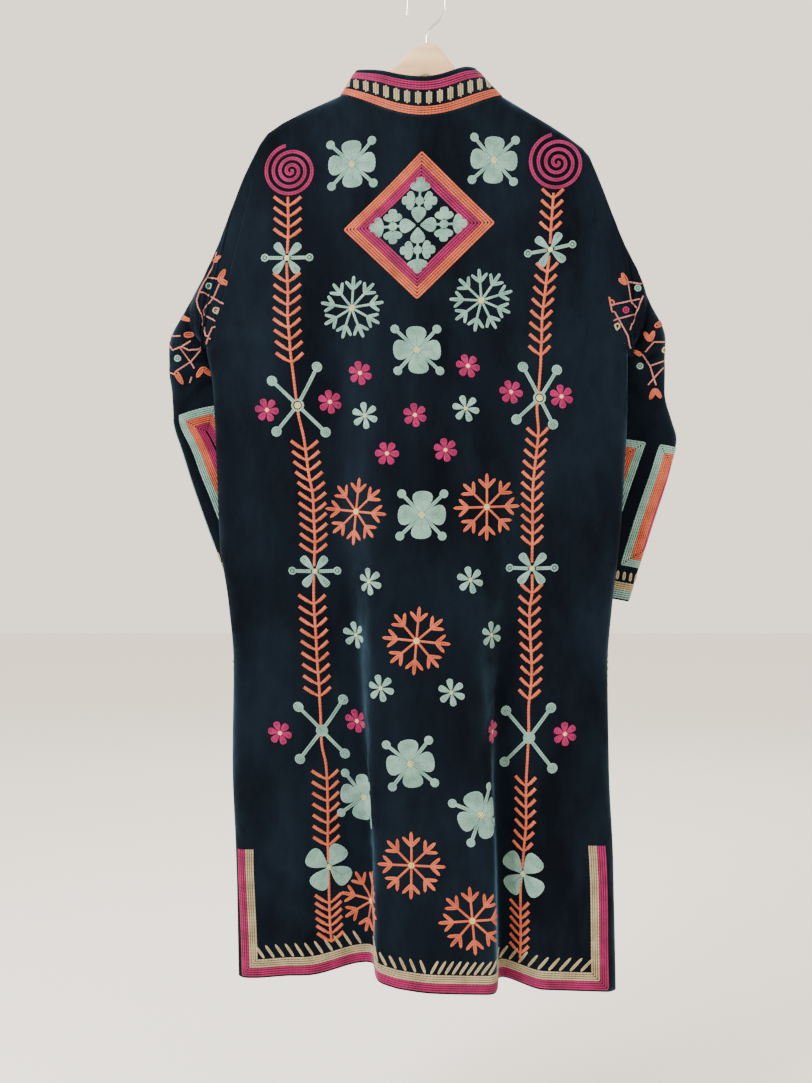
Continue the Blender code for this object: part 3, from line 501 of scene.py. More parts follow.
# %% Velvet
velvet = finish_with_noise("velvet", (0.0007, 0.0014, 0.0030), (0.0022, 0.0042, 0.0082), scale=9.0,
                           roughness=0.85, bump=0.25, bump_scale=900.0, stretch=(1.6, 1.6, 0.6))
velvet_tree = velvet.node_tree
velvet_shader = velvet_tree.nodes["Principled BSDF"]
velvet_shader.inputs["Sheen Roughness"].default_value = 0.46
velvet_shader.inputs["Sheen Tint"].default_value = (0.15, 0.32, 0.50, 1)
velvet_shader.inputs["Specular IOR Level"].default_value = 0.04
nap_place = velvet_tree.nodes.new("ShaderNodeTexCoord")
nap_size = velvet_tree.nodes.new("ShaderNodeMapping")
nap_size.inputs["Scale"].default_value = (1.0, 1.0, 0.45)
nap = velvet_tree.nodes.new("ShaderNodeTexNoise")
nap.inputs["Scale"].default_value = 8.0
nap.inputs["Detail"].default_value = 9.0
nap.inputs["Roughness"].default_value = 0.70
nap_range = velvet_tree.nodes.new("ShaderNodeMapRange")
nap_range.inputs["From Min"].default_value = 0.42
nap_range.inputs["From Max"].default_value = 0.66
nap_range.inputs["To Min"].default_value = 0.03
nap_range.inputs["To Max"].default_value = 0.85
velvet_tree.links.new(nap_place.outputs["Object"], nap_size.inputs["Vector"])
velvet_tree.links.new(nap_size.outputs["Vector"], nap.inputs["Vector"])
velvet_tree.links.new(nap.outputs["Fac"], nap_range.inputs["Value"])
velvet_tree.links.new(nap_range.outputs["Result"], velvet_shader.inputs["Sheen Weight"])

# %% [markdown]
# ## Wood and steel
#
# The hanger is pale varnished wood: long streaks along it, with a thin clear coat. The hook is
# bright plated wire, so it needs only metal with a low roughness, the same all over.

# %% Wood and steel
wood = finish_with_noise("wood", (0.52, 0.32, 0.16), (0.72, 0.50, 0.28), scale=14.0, roughness=0.38,
                         bump=0.15, bump_scale=90.0, stretch=(0.35, 3.0, 3.0))
wood.node_tree.nodes["Principled BSDF"].inputs["Coat Weight"].default_value = 0.25
steel = bpy.data.materials.new("steel")
steel.use_nodes = True
steel_shader = steel.node_tree.nodes["Principled BSDF"]
steel_shader.inputs["Base Color"].default_value = (0.66, 0.66, 0.68, 1)
steel_shader.inputs["Metallic"].default_value = 1.0
steel_shader.inputs["Roughness"].default_value = 0.18
print("finishes", velvet.name, wood.name, steel.name)

# %% [markdown]
# ## From a surface to a piece of cloth
#
# A real panel has a right side, a wrong side and cut edges. The Solidify modifier could give them.
# Here the wall is worked out from the grid, so that seams meet exactly and every rim is closed.

# %% Walls
def add_mesh(name, vertices, faces, finish):
    """A smooth-shaded mesh from whole arrays; it rides on the object's one body."""
    mesh = bpy.data.meshes.new(name)
    mesh.from_pydata(vertices.tolist(), [], faces.tolist())
    mesh.shade_smooth()
    mesh.materials.append(finish)
    item = bpy.data.objects.new(name, mesh)
    bpy.context.collection.objects.link(item)
    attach(item, "root")
    return item


def add_wall(node, points, outward, around=False):
    """Closed velvet wall on a grid: the grid moved half a wall each way along its normals, and rims."""
    rows, columns = points.shape[:2]
    vertices = np.concatenate([(points + outward * WALL / 2).reshape(-1, 3),
                               (points - outward * WALL / 2).reshape(-1, 3)])
    index = np.arange(rows * columns).reshape(rows, columns)
    if around:
        index = np.concatenate([index, index[:, :1]], axis=1)
    a, b = index[:-1, :-1].ravel(), index[:-1, 1:].ravel()
    c, d = index[1:, 1:].ravel(), index[1:, :-1].ravel()
    other = rows * columns
    quads = [np.stack([a, b, c, d], axis=1), np.stack([a, d, c, b], axis=1) + other]
    rims = [index[0], index[-1]] + ([] if around else [index[:, 0], index[:, -1]])
    for number, rim in enumerate(rims):
        rim = rim if number in (1, 2) else rim[::-1]
        quads.append(np.stack([rim[:-1], rim[1:], rim[1:] + other, rim[:-1] + other], axis=1))
    quads = np.concatenate(quads)
    cross = np.cross(np.gradient(points, axis=0), np.gradient(points, axis=1))
    if np.sum(cross * outward) < 0:
        quads = quads[:, ::-1]
    item = add_mesh(f"{node}_cloth", vertices, quads, velvet)
    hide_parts(node)
    print(item.name, len(quads) * 2, "triangles")
    return item


# %% [markdown]
# ## Places on a panel
#
# A panel's grid lies closer together where the cloth rounds a fold, and it has a column exactly
# at each end of the neck seam, so that the neckband can be sewn to the same points.

# %% Places on a panel
ROLL_STEPS = 7


def armhole_parts(middle_steps=34):
    """Places down the armhole, closer together where the cloth rounds a fold."""
    roll = np.linspace(0, ROLL_PART, ROLL_STEPS + 1)
    middle = np.linspace(ROLL_PART, 1 - ROLL_PART, middle_steps + 1)[1:-1]
    return np.concatenate([roll, middle, 1 - roll[::-1]])


def body_rows(lower_steps=140):
    """Places down a body panel: the armhole's, then evenly to the hem."""
    return np.concatenate([armhole_parts(), 1 + np.linspace(0, 1, lower_steps + 1)[1:]])


def neck_places():
    """Where across the back the neck seam starts and ends."""
    left = SHOULDER_LINE[0].x + STAND_OFF
    right = SHOULDER_LINE[-1].x - STAND_OFF
    return (NECK_LEFT[0] - left) / (right - left), (NECK_RIGHT[0] - left) / (right - left)


def back_columns():
    """Places across the back, with one exactly at each end of the neck seam, and those two."""
    start, end = neck_places()
    rolled = np.linspace(-1, 0, ROLL_STEPS + 1)
    places = np.concatenate([rolled, np.linspace(0, start, 23)[1:], np.linspace(start, end, 57)[1:],
                             np.linspace(end, 1, 25)[1:], 1 - rolled[::-1][1:]])
    return places, ROLL_STEPS + 22, ROLL_STEPS + 78


def panel(points, creases, outward_y, mirror=1):
    """A body panel's grid and outward normals, flat at its sewn edges, with its creases."""
    normal = normals(points)
    if np.sum(normal[..., 1]) * outward_y < 0:
        normal = -normal
    edge = ease((np.arange(points.shape[1]) - ROLL_STEPS) / 5)
    if outward_y < 0:
        edge = edge * edge[::-1]
    down = ease(np.arange(len(points)) / 12)
    moved = creased(points, normal, creases, mirror)
    settled = (edge[None, :] * down[:, None])[..., None]
    moved = points * (1 - settled) + moved * settled
    return moved, normal


# %% [markdown]
# ## Back panel
#
# One wide panel from the shoulder seams to the hem. Its grid is close enough for the creases,
# and it is kept, because the embroidery is later sewn on this very surface. Normals at the sewn
# edges are levelled, so that the walls of two pieces meet along the seam without crossing.

# %% Back
rows = body_rows()
back_places, neck_first, neck_last = back_columns()
back_grid, back_normal = panel(back_points(back_places, rows), BACK_CREASES, -1)
vent_row = 2 - VENT_HEIGHT / (HEM_DROP[0] - ARMPIT_DROP[0])
sewn = (rows >= 1) & (rows <= vent_row)
for seam in (0, -1):
    back_normal[sewn, seam, 1] = 0
back_normal[0, :neck_first + 1, 1] = 0
back_normal[0, neck_last:, 1] = 0
back = add_wall("back", back_grid, unit(back_normal))

# %% [markdown]
# ## Two fronts
#
# The fronts hang edge to edge behind the hanger, away from the camera. They are cut like the back,
# with the neck cut down to a point, and they are worked out with the same rows.

# %% Fronts
def front_columns(side):
    """Places across a front, with one exactly where the shoulder meets the neck, and that one."""
    tip = abs(SHOULDER_LINE[0 if side < 0 else -1].x) - STAND_OFF
    neck = abs((NECK_LEFT if side < 0 else NECK_RIGHT)[0])
    open_x = side * (NECK_LEFT[0] + NECK_RIGHT[0]) / 2 + FRONT_EDGE
    start = (tip - neck) / (tip - open_x)
    places = np.concatenate([np.linspace(-1, 0, ROLL_STEPS + 1), np.linspace(0, start, 21)[1:],
                             np.linspace(start, 1, 27)[1:]])
    return places, ROLL_STEPS + 20


front_grids = {}
for side, name in ((-1, "left"), (1, "right")):
    places, neck = front_columns(side)
    grid, normal = panel(front_points(side, places, rows), FRONT_CREASES, 1, mirror=-side)
    normal[sewn, 0, 1] = 0
    normal[0, :neck + 1, 1] = 0
    front_grids[name] = (grid, unit(normal), places, neck)
    add_wall(f"front_{name}", grid, unit(normal))

# %% [markdown]
# ## Sleeves
#
# Each sleeve is a flattened tube. Its table gives the outer fold and the underarm fold of a row of
# rings; the cloth bunches at the elbow, where the sleeve swings back behind the body.

# %% Sleeves
Ring = namedtuple("Ring", "along outer_x outer_z outer_y under_x under_z under_y half_depth")
LEFT_SLEEVE = [
    Ring(0.00, -0.2225, -0.2185, 0.000, -0.2970, -0.4930, 0.000, 0.014),
    Ring(0.12, -0.2440, -0.2620, 0.000, -0.2992, -0.4928, 0.000, 0.014),
    Ring(0.26, -0.2670, -0.3200, 0.002, -0.3015, -0.4932, 0.001, 0.015),
    Ring(0.40, -0.2970, -0.3900, 0.006, -0.3035, -0.4955, 0.003, 0.018),
    Ring(0.50, -0.3270, -0.4420, 0.010, -0.2960, -0.4952, 0.014, 0.021),
    Ring(0.58, -0.3490, -0.4870, 0.014, -0.2880, -0.4985, 0.024, 0.020),
    Ring(0.64, -0.3505, -0.5200, 0.018, -0.2890, -0.5110, 0.025, 0.018),
    Ring(0.70, -0.3470, -0.5520, 0.022, -0.2790, -0.5330, 0.033, 0.016),
    Ring(0.76, -0.3460, -0.5880, 0.026, -0.2660, -0.5640, 0.036, 0.015),
    Ring(0.82, -0.3340, -0.6320, 0.030, -0.2400, -0.5980, 0.042, 0.014),
    Ring(0.88, -0.3180, -0.6840, 0.033, -0.2100, -0.6450, 0.044, 0.013),
    Ring(0.94, -0.2970, -0.7450, 0.036, -0.1820, -0.7030, 0.045, 0.012),
    Ring(1.00, -0.2740, -0.8070, 0.038, -0.1570, -0.7660, 0.046, 0.011),
]
RIGHT_SLEEVE = [
    Ring(0.00, 0.2165, -0.2345, 0.000, 0.2700, -0.5020, 0.000, 0.014),
    Ring(0.12, 0.2330, -0.2730, 0.000, 0.2722, -0.5018, 0.000, 0.014),
    Ring(0.26, 0.2580, -0.3350, 0.002, 0.2745, -0.5022, 0.001, 0.015),
    Ring(0.40, 0.2850, -0.3900, 0.006, 0.2765, -0.5045, 0.003, 0.018),
    Ring(0.50, 0.3030, -0.4320, 0.010, 0.2690, -0.5047, 0.014, 0.021),
    Ring(0.58, 0.3240, -0.4780, 0.014, 0.2625, -0.5085, 0.024, 0.020),
    Ring(0.64, 0.3245, -0.5130, 0.018, 0.2650, -0.5200, 0.025, 0.018),
    Ring(0.70, 0.3250, -0.5510, 0.022, 0.2550, -0.5400, 0.033, 0.016),
    Ring(0.76, 0.3360, -0.5900, 0.026, 0.2440, -0.5720, 0.036, 0.015),
    Ring(0.80, 0.3430, -0.6140, 0.029, 0.2320, -0.6050, 0.041, 0.014),
    Ring(0.86, 0.3330, -0.6600, 0.032, 0.2140, -0.6400, 0.044, 0.013),
    Ring(0.93, 0.3090, -0.7380, 0.036, 0.1920, -0.7050, 0.045, 0.012),
    Ring(1.00, 0.2790, -0.8370, 0.038, 0.1580, -0.8150, 0.046, 0.011),
]
print(len(LEFT_SLEEVE), "and", len(RIGHT_SLEEVE), "rings in the sleeves' tables")

# %% [markdown]
# ## Bunches and wrinkles
#
# A sleeve that hangs with a bent elbow bunches there. A bunch is a Gaussian swelling round the tube,
# slanted from the outer fold to the underarm, and the wrinkles between are narrower and shallower.

# %% Bunches and wrinkles
Bunch = namedtuple("Bunch", "along width height slant")
ELBOW_BUNCHES = [Bunch(0.47, 0.035, 0.005, 0.10), Bunch(0.57, 0.030, 0.006, 0.06),
                 Bunch(0.66, 0.030, 0.005, -0.02), Bunch(0.76, 0.035, 0.004, -0.05)]
BUNCH_REST = 0.2
SLEEVE_WRINKLES = [Bunch(0.30, 0.018, 0.0030, 0.16), Bunch(0.38, 0.015, -0.0028, 0.14),
                   Bunch(0.43, 0.013, 0.0035, 0.12), Bunch(0.52, 0.012, -0.0040, 0.08),
                   Bunch(0.60, 0.011, 0.0038, 0.04), Bunch(0.625, 0.010, -0.0040, 0.00),
                   Bunch(0.70, 0.012, 0.0030, -0.03), Bunch(0.84, 0.020, 0.0018, -0.06)]
ARMHOLE_FADE = 0.3
SEAM_FADE = 0.1
print(len(ELBOW_BUNCHES), "bunches and", len(SLEEVE_WRINKLES), "wrinkles on each sleeve")

# %% [markdown]
# ## A sleeve's surface
#
# The rings run from the armhole to the cuff. The first ring is eased on to the armhole's real edge,
# so the sleeve starts where the body ends, and the difference fades out down the sleeve.

# %% A sleeve's surface
def armhole_ring(side, parts):
    """The armhole's edge: down the back, then up the front again."""
    near = np.array([-1, 1 / ROLL_STEPS - 1])
    back_edge = back_points(near if side < 0 else 1 - near[::-1], parts)[:, 0 if side < 0 else 1]
    front_edge = front_points(side, near, parts)[:, 0]
    ring = np.concatenate([back_edge, front_edge[-2:0:-1]])
    ring[[0, len(parts) - 1], 1] = 0
    return ring


def sleeve_rings(table, along, part, face):
    """Flattened rings: from outer to underarm fold, standing off by half the sleeve's depth."""
    keys = column(table, "along")
    outer, under = (np.stack([smooth(keys, column(table, f"{name}_{axis}"), along)
                              for axis in "xyz"], axis=-1) for name in ("outer", "under"))
    depth = smooth(keys, column(table, "half_depth"), along)[:, None]
    length = np.linalg.norm(under - outer, axis=-1)[:, None]
    across = armhole_drop(part[None, :], np.minimum(depth / length, 0.45))
    fullness = np.sin(fold_angle(part))[None, :]
    points = outer[:, None, :] + (under - outer)[:, None, :] * across[:, :, None]
    stand = depth * fullness
    for bunch in ELBOW_BUNCHES:
        place = (along[:, None] - bunch.along - bunch.slant * (across - 0.5)) / bunch.width
        stand = stand + bunch.height * fullness * (np.exp(-place ** 2) - BUNCH_REST)
    for wrinkle in SLEEVE_WRINKLES:
        wander = 0.010 * np.sin(7 * across + wrinkle.along * 40)
        place = (along[:, None] + wander - wrinkle.along - wrinkle.slant * (across - 0.5)) / wrinkle.width
        stand = stand + wrinkle.height * (0.25 + 0.75 * fullness) * np.exp(-place ** 2)
    fade = np.clip((along - 0.05) / ARMHOLE_FADE, 0, 1)[:, None]
    stand = depth * fullness * (1 - fade) + stand * fade
    points[..., 1] += face[None, :] * stand
    return points


def sleeve_grid(side, steps=100):
    """A sleeve's grid and outward normals; its first ring is eased on to the armhole's edge."""
    table = LEFT_SLEEVE if side < 0 else RIGHT_SLEEVE
    along = np.linspace(0, 1, steps + 1)
    parts = armhole_parts(26)
    around = np.concatenate([parts, parts[-2:0:-1]])
    face = np.concatenate([-np.ones(len(parts)), np.ones(len(parts) - 2)])
    points = sleeve_rings(table, along, around, face)
    miss = armhole_ring(side, parts) - sleeve_rings(table, np.zeros(1), around, face)[0]
    points += miss[None] * (np.clip(1 - along / ARMHOLE_FADE, 0, 1) ** 2)[:, None, None]
    away = unit(points[1] - points[0])
    points += SEAM_GAP * np.clip(1 - along / SEAM_FADE, 0, 1)[:, None, None] * away[None]
    wrapped = np.concatenate([points[:, -1:], points, points[:, :1]], axis=1)
    normal = normals(wrapped)[:, 1:-1]
    if np.sum(normal[:, :len(parts), 1]) > 0:
        normal = -normal
    return points, normal, parts


# %% [markdown]
# ## Two sleeves
#
# Both sleeves come from one function and two tables. Like the panels' grids, theirs are kept for
# the embroidery. The wall is closed around the tube and open at the cuff.

# %% Two sleeves
sleeve_grids = {}
for side, name in ((-1, "left"), (1, "right")):
    points, normal, parts = sleeve_grid(side)
    sleeve_grids[name] = (points, normal, parts)
    add_wall(f"sleeve_{name}", points, normal, around=True)

# %% [markdown]
# ## Neckband
#
# The band is one strip sewn to the neck seam, from one front edge round the back to the other.
# It stands up and leans in with the neck; the tables give its height and lean round the neck.

# %% Neckband
Band = namedtuple("Band", "part height lean_x")
NECK_CORNERS = (0.30, 0.70)
NECKBAND = [
    Band(0.00, 0.054, 0.00), Band(0.06, 0.044, 0.36), Band(0.14, 0.038, 0.70),
    Band(0.22, 0.037, 0.70), Band(0.30, 0.037, 0.54), Band(0.41, 0.048, 0.22),
    Band(0.50, 0.052, 0.00), Band(0.59, 0.052, -0.28), Band(0.70, 0.051, -0.70),
    Band(0.78, 0.042, -0.72), Band(0.86, 0.038, -0.70), Band(0.94, 0.044, -0.36),
    Band(1.00, 0.054, 0.00),
]


def neckband_grid(steps=14):
    """The band's grid: the neck seam's own points, carried up along the lean by the height."""
    top = np.array([0.0, ROLL_PART / 2])
    back_seam = back_points(back_places, top)[0, neck_first:neck_last + 1]
    seams = []
    for side in (-1, 1):
        places, neck = front_columns(side)
        seams.append(front_points(side, places, top)[0, neck + 1:])
    base = np.concatenate([seams[0][::-1], back_seam, seams[1]])
    length = length_along(base)
    corners = [len(seams[0]), len(seams[0]) + neck_last - neck_first]
    part = np.interp(length, [0, length[corners[0]], length[corners[1]], length[-1]],
                     [0, *NECK_CORNERS, 1])
    keys = column(NECKBAND, "part")
    lean = smooth(keys, column(NECKBAND, "lean_x"), part)
    height = smooth(keys, column(NECKBAND, "height"), part)
    up = np.stack([lean, 0 * lean, np.sqrt(1 - lean ** 2)], axis=-1)
    above = sum(np.exp(-((part - corner) / 0.03) ** 2) for corner in NECK_CORNERS)
    lift = SEAM_GAP + WALL * 0.75 * above
    rise = np.linspace(0, 1, steps + 1)[:, None, None]
    return base[None] + up[None] * (lift[None, :, None] + rise * height[None, :, None]), part


band_grid, band_part = neckband_grid()
band_normal = normals(band_grid)
centre_of_neck = np.array([(NECK_LEFT[0] + NECK_RIGHT[0]) / 2, 0, 0])
if np.sum((band_grid - centre_of_neck)[..., :2] * band_normal[..., :2]) < 0:
    band_normal = -band_normal
collar = add_wall("collar", band_grid, band_normal)

# %% [markdown]
# ## Hanger and hook
#
# Such a hanger is cut from a board and rounded at its edges; the hook is bent from wire.
# Both are tubes of sections, ovals along the wood and circles along the wire, so one function
# closes a row of rings into a bar.

# %% A bar from rings
def add_bar(name, points, finish, node):
    """A closed bar through a row of rings; each end is closed by a fan to its middle."""
    count, around = points.shape[:2]
    index = np.arange(count * around).reshape(count, around)
    ahead = np.roll(index, -1, axis=1)
    sides = np.stack([index[:-1], ahead[:-1], ahead[1:], index[1:]], axis=-1).reshape(-1, 4)
    first, last = count * around, count * around + 1
    fans = np.concatenate([np.stack([np.full(around, first), ahead[0], index[0]], axis=1),
                           np.stack([np.full(around, last), index[-1], ahead[-1]], axis=1)])
    vertices = np.concatenate([points.reshape(-1, 3), points[:1].mean(axis=1), points[-1:].mean(axis=1)])
    mesh = bpy.data.meshes.new(name)
    mesh.from_pydata(vertices.tolist(), [], sides.tolist() + fans.tolist())
    mesh.shade_smooth()
    mesh.set_sharp_from_angle(angle=np.radians(50))
    mesh.materials.append(finish)
    item = bpy.data.objects.new(name, mesh)
    bpy.context.collection.objects.link(item)
    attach(item, "root")
    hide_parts(node)
    return item


# %% [markdown]
# ## Hanger
#
# The arms lie just under the robe's shoulders, so their top line is the shoulder line less a small
# clearance. The middle rises in a crown, from a table. Each end is rounded by a quarter circle.

# %% Hanger
ARM_THICKNESS = 0.010
ARM_HEIGHT = 0.030
HANGER_CLEAR = 0.0022
HANGER_ENDS = (-0.209, 0.203)
HANGER_ROUND = 0.012
OVAL_POWER = 0.7
Wood = namedtuple("Wood", "x top bottom")
HANGER_MIDDLE = [
    Wood(-0.1135, -0.1575, -0.1870), Wood(-0.100, -0.1500, -0.1800), Wood(-0.085, -0.1408, -0.171),
    Wood(-0.057, -0.124, -0.155), Wood(-0.032, -0.102, -0.142),
    Wood(-0.014, -0.086, -0.132), Wood(0.0, -0.082, -0.125), Wood(0.014, -0.086, -0.132),
    Wood(0.030, -0.104, -0.141), Wood(0.049, -0.130, -0.151), Wood(0.070, -0.1425, -0.170),
    Wood(0.088, -0.1528, -0.182), Wood(0.100, -0.1595, -0.1890),
]

ends = HANGER_ROUND * (1 - np.cos(np.pi / 2 * np.linspace(0.06, 1, 9)))
inner_left, inner_right = HANGER_MIDDLE[0].x, HANGER_MIDDLE[-1].x
x = np.concatenate([HANGER_ENDS[0] + ends,
                    np.linspace(HANGER_ENDS[0] + HANGER_ROUND, inner_left, 17)[1:-1],
                    np.linspace(inner_left, inner_right, 61),
                    np.linspace(inner_right, HANGER_ENDS[1] - HANGER_ROUND, 17)[1:-1],
                    HANGER_ENDS[1] - ends[::-1]])
middle_x = column(HANGER_MIDDLE, "x")
on_arm = (x < inner_left) | (x > inner_right)
arm_top = shoulder_height(x) - HANGER_CLEAR
top = np.where(on_arm, arm_top, smooth(middle_x, column(HANGER_MIDDLE, "top"), x))
bottom = np.where(on_arm, arm_top - ARM_HEIGHT, smooth(middle_x, column(HANGER_MIDDLE, "bottom"), x))
to_end = np.clip(np.minimum(x - HANGER_ENDS[0], HANGER_ENDS[1] - x) / HANGER_ROUND, 0, 1)
slim = np.sqrt(np.clip(1 - (1 - to_end) ** 2, 0, 1))
turn = np.linspace(0, 2 * np.pi, 33)[:-1]
oval_y = np.sign(np.cos(turn)) * np.abs(np.cos(turn)) ** OVAL_POWER
oval_z = np.sign(np.sin(turn)) * np.abs(np.sin(turn)) ** OVAL_POWER
half = (top - bottom) / 2 * slim
thin = ARM_THICKNESS / 2 * (0.4 + 0.6 * slim)
sections = np.stack([np.repeat(x[:, None], 32, axis=1), thin[:, None] * oval_y[None],
                     ((top + bottom) / 2)[:, None] + half[:, None] * oval_z[None]], axis=-1)
hanger = add_bar("hanger_wood", sections, wood, "hanger")

# %% [markdown]
# ## Hook
#
# One wire rises from the crown, bends over in a half circle and ends in a short tip. A monotone
# curve through a few places is sampled evenly, and a circle is carried along it at right angles.

# %% Hook
WIRE_RADIUS = 0.00175
HOOK_RADIUS = 0.025
HOOK_STEM = [(0.0, -0.0817), (0.0, -0.074), (0.0018, -0.066), (0.0085, -0.058),
             (0.0175, -0.050), (0.0235, -0.040), (0.0252, -0.031)]
HOOK_TIP = [(-0.0255, -0.033), (-0.0268, -0.0445)]

bend = np.radians(np.linspace(0, 180, 41))
arc = np.stack([HOOK_RADIUS * np.cos(bend),
                WIRE_RADIUS - HOOK_RADIUS + HOOK_RADIUS * np.sin(bend)], axis=1)
wire = np.concatenate([np.array(HOOK_STEM), arc, np.array(HOOK_TIP)])
length = length_along(wire)
even = np.linspace(0, length[-1], 90)
wire = np.stack([smooth(length, wire[:, 0], even), smooth(length, wire[:, 1], even)], axis=1)
ahead = unit(np.gradient(wire, axis=0))
ahead[0] = (0, 1)
turn = np.linspace(0, 2 * np.pi, 17)[:-1]
out = WIRE_RADIUS * np.cos(turn)
rings = np.stack([wire[:, :1] - ahead[:, 1:] * out[None],
                  np.broadcast_to(WIRE_RADIUS * np.sin(turn), (len(wire), 16)),
                  wire[:, 1:] + ahead[:, :1] * out[None]], axis=-1)
add_bar("hook_wire", rings, steel, "hook")
print("hanger", len(sections), "sections; hook", len(rings), "rings")


# %% [markdown]
# ## A chart of each piece
#
# An embroiderer chalks the design on the flat cloth. A chart does the same: it gives the point of the
# hanging cloth for a place a across and b up, in metres measured along the cloth, so that a circle
# drawn on the chart stays a circle on the cloth, however the cloth is folded.

# %% Charts
Chart = namedtuple("Chart", "name points normals a b run wraps")
CHART_STEP = 0.002


def make_chart(name, grid, normal, b_of, centre, wraps=False):
    """Resample a grid: first down its columns at even b, then along its rows at even length a."""
    both = np.concatenate([grid, normal], axis=-1)
    b = np.arange(b_of.min(), b_of.max() + CHART_STEP, CHART_STEP)
    lines = np.empty((len(b), grid.shape[1], 6))
    for place in range(grid.shape[1]):
        order = np.argsort(b_of[:, place])
        for part in range(6):
            lines[:, place, part] = np.interp(b, b_of[order, place], both[order, place, part])
    step = np.linalg.norm(np.diff(lines[..., :3], axis=1), axis=2)
    run = np.concatenate([np.zeros((len(b), 1)), np.cumsum(step, axis=1)], axis=1)
    run -= run[:, centre:centre + 1]
    a = np.arange(run.min(), run.max() + CHART_STEP, CHART_STEP)
    chart = np.empty((len(b), len(a), 6))
    for row in range(len(b)):
        for part in range(6):
            chart[row, :, part] = np.interp(a, run[row], lines[row, :, part])
    print("chart", name, chart.shape[:2])
    return Chart(name, chart[..., :3], unit(chart[..., 3:]), a, b, run, wraps)


# %% [markdown]
# ## Reading a chart
#
# Sewing asks a chart two things: where its edges are at a height, and which point of the cloth, with
# which normal, lies at a place. Between its entries the answer is the weighted mean of four of them.

# %% Reading a chart
def ends_of(chart, b):
    """The chart's a at the cloth's first and last column, at height b."""
    return np.interp(b, chart.b, chart.run[:, 0]), np.interp(b, chart.b, chart.run[:, -1])


def on_chart(chart, a, b):
    """Points and normals at places of the chart, between its four nearest entries."""
    if chart.wraps:
        first, last = ends_of(chart, b)
        a = first + np.mod(a - first, last - first)
    column_at = np.clip((a - chart.a[0]) / CHART_STEP, 0, len(chart.a) - 1.001)
    row_at = np.clip((b - chart.b[0]) / CHART_STEP, 0, len(chart.b) - 1.001)
    i, j = row_at.astype(int), column_at.astype(int)
    u, v = (column_at - j)[:, None], (row_at - i)[:, None]
    found = [values[i, j] * (1 - u) * (1 - v) + values[i, j + 1] * u * (1 - v)
             + values[i + 1, j] * (1 - u) * v + values[i + 1, j + 1] * u * v
             for values in (chart.points, chart.normals)]
    return found[0], unit(found[1])


# %% [markdown]
# ## From the photograph to the cloth
#
# A place read off the photograph is a pixel. Every chart entry is projected into the picture once,
# and the entries seen nearest to that pixel, on the cloth that faces the camera, give the place.

# %% From the photograph to the cloth
seen_at = {}


def pixels_off(chart, x, y):
    """How many pixels each entry of a chart is seen from a photo pixel; infinite if it faces away."""
    if chart.name not in seen_at:
        seen = to_photo(chart.points)
        seen_at[chart.name] = np.where(chart.normals[..., 1:2] < -0.05, seen[..., :2], np.inf)
    seen = seen_at[chart.name]
    return np.hypot(seen[..., 0] - x, seen[..., 1] - y)


def from_photo(chart, x, y):
    """Chart place seen at a photo pixel: the nearest of the entries that face the camera there."""
    off = pixels_off(chart, x, y)
    near = off < max(2.5, off.min() + 1.0)
    front = near & (chart.points[..., 1] < chart.points[..., 1][near].min() + 0.02)
    weight = np.where(front, np.exp(-off ** 2), 0)
    total = weight.sum()
    rows_at, columns_at = np.nonzero(front) if total < 1e-9 else np.nonzero(weight)
    if total < 1e-9:
        return np.array([chart.a[columns_at].mean(), chart.b[rows_at].mean()])
    shares = weight[rows_at, columns_at] / total
    return np.array([np.sum(chart.a[columns_at] * shares), np.sum(chart.b[rows_at] * shares)])


def photo_line(chart, places):
    """A chart path with straight runs through photo pixels."""
    return np.array([from_photo(chart, *place) for place in places])


def photo_path(chart, places):
    """A smooth chart path through photo pixels."""
    found = photo_line(chart, places)
    length = length_along(found)
    even = np.linspace(0, length[-1], max(int(length[-1] / 0.004), 8))
    return np.stack([smooth(length, found[:, 0], even), smooth(length, found[:, 1], even)], axis=1)


# %% [markdown]
# ## The pieces' charts
#
# Each chart lies on the outer face, half a wall above the grid. A sleeve's chart starts at the cuff
# and goes round from one underarm to the next, and the neckband's is measured from the neck seam.

# %% The pieces' charts
half_back = len(back_places) // 2
back_chart = make_chart("back", back_grid + unit(back_normal) * WALL / 2, unit(back_normal),
                        back_grid[..., 2], half_back)
front_charts = {}
for name, (grid, normal, places, neck) in front_grids.items():
    front_charts[name] = make_chart(f"front_{name}", grid + normal * WALL / 2, normal,
                                    grid[..., 2], grid.shape[1] - 1)
sleeve_charts = {}
for name, (grid, normal, parts) in sleeve_grids.items():
    count = len(parts)
    order = np.concatenate([np.arange(count - 1, grid.shape[1]), np.arange(count)])
    grid, normal = grid[:, order], normal[:, order]
    lengths = np.linalg.norm(np.diff(grid, axis=0), axis=2)[::-1]
    from_cuff = np.concatenate([np.zeros((1, grid.shape[1])), np.cumsum(lengths, axis=0)])[::-1]
    sleeve_charts[name] = make_chart(f"sleeve_{name}", grid + normal * WALL / 2, normal,
                                     from_cuff, grid.shape[1] - count, wraps=True)
BAND_HEIGHT = 0.050
band_b = np.repeat(np.linspace(0, BAND_HEIGHT, len(band_grid))[:, None], band_grid.shape[1], axis=1)
band_chart = make_chart("collar", band_grid + band_normal * WALL / 2, band_normal, band_b,
                        int(np.argmin(np.abs(band_part - 0.5))))

# %% [markdown]
# ## Chain stitch
#
# The whole design is one stitch: rows of chain stitch, laid side by side to fill a shape.
# Each row is a low rounded cord on the cloth, wide and narrow by turns like the links of a chain,
# with its own UV, along and across, so that the finish can draw the two legs of every link.

# %% Stitches
ROW = 0.0029                # one row of chain stitch, side to side
ROW_HEIGHT = 0.0011
STITCH = 0.0023             # half a link: rows are sampled at this step
LONG_PATH = 0.060           # shorter paths turn more, so they are sampled closer
sewn_rows = {}


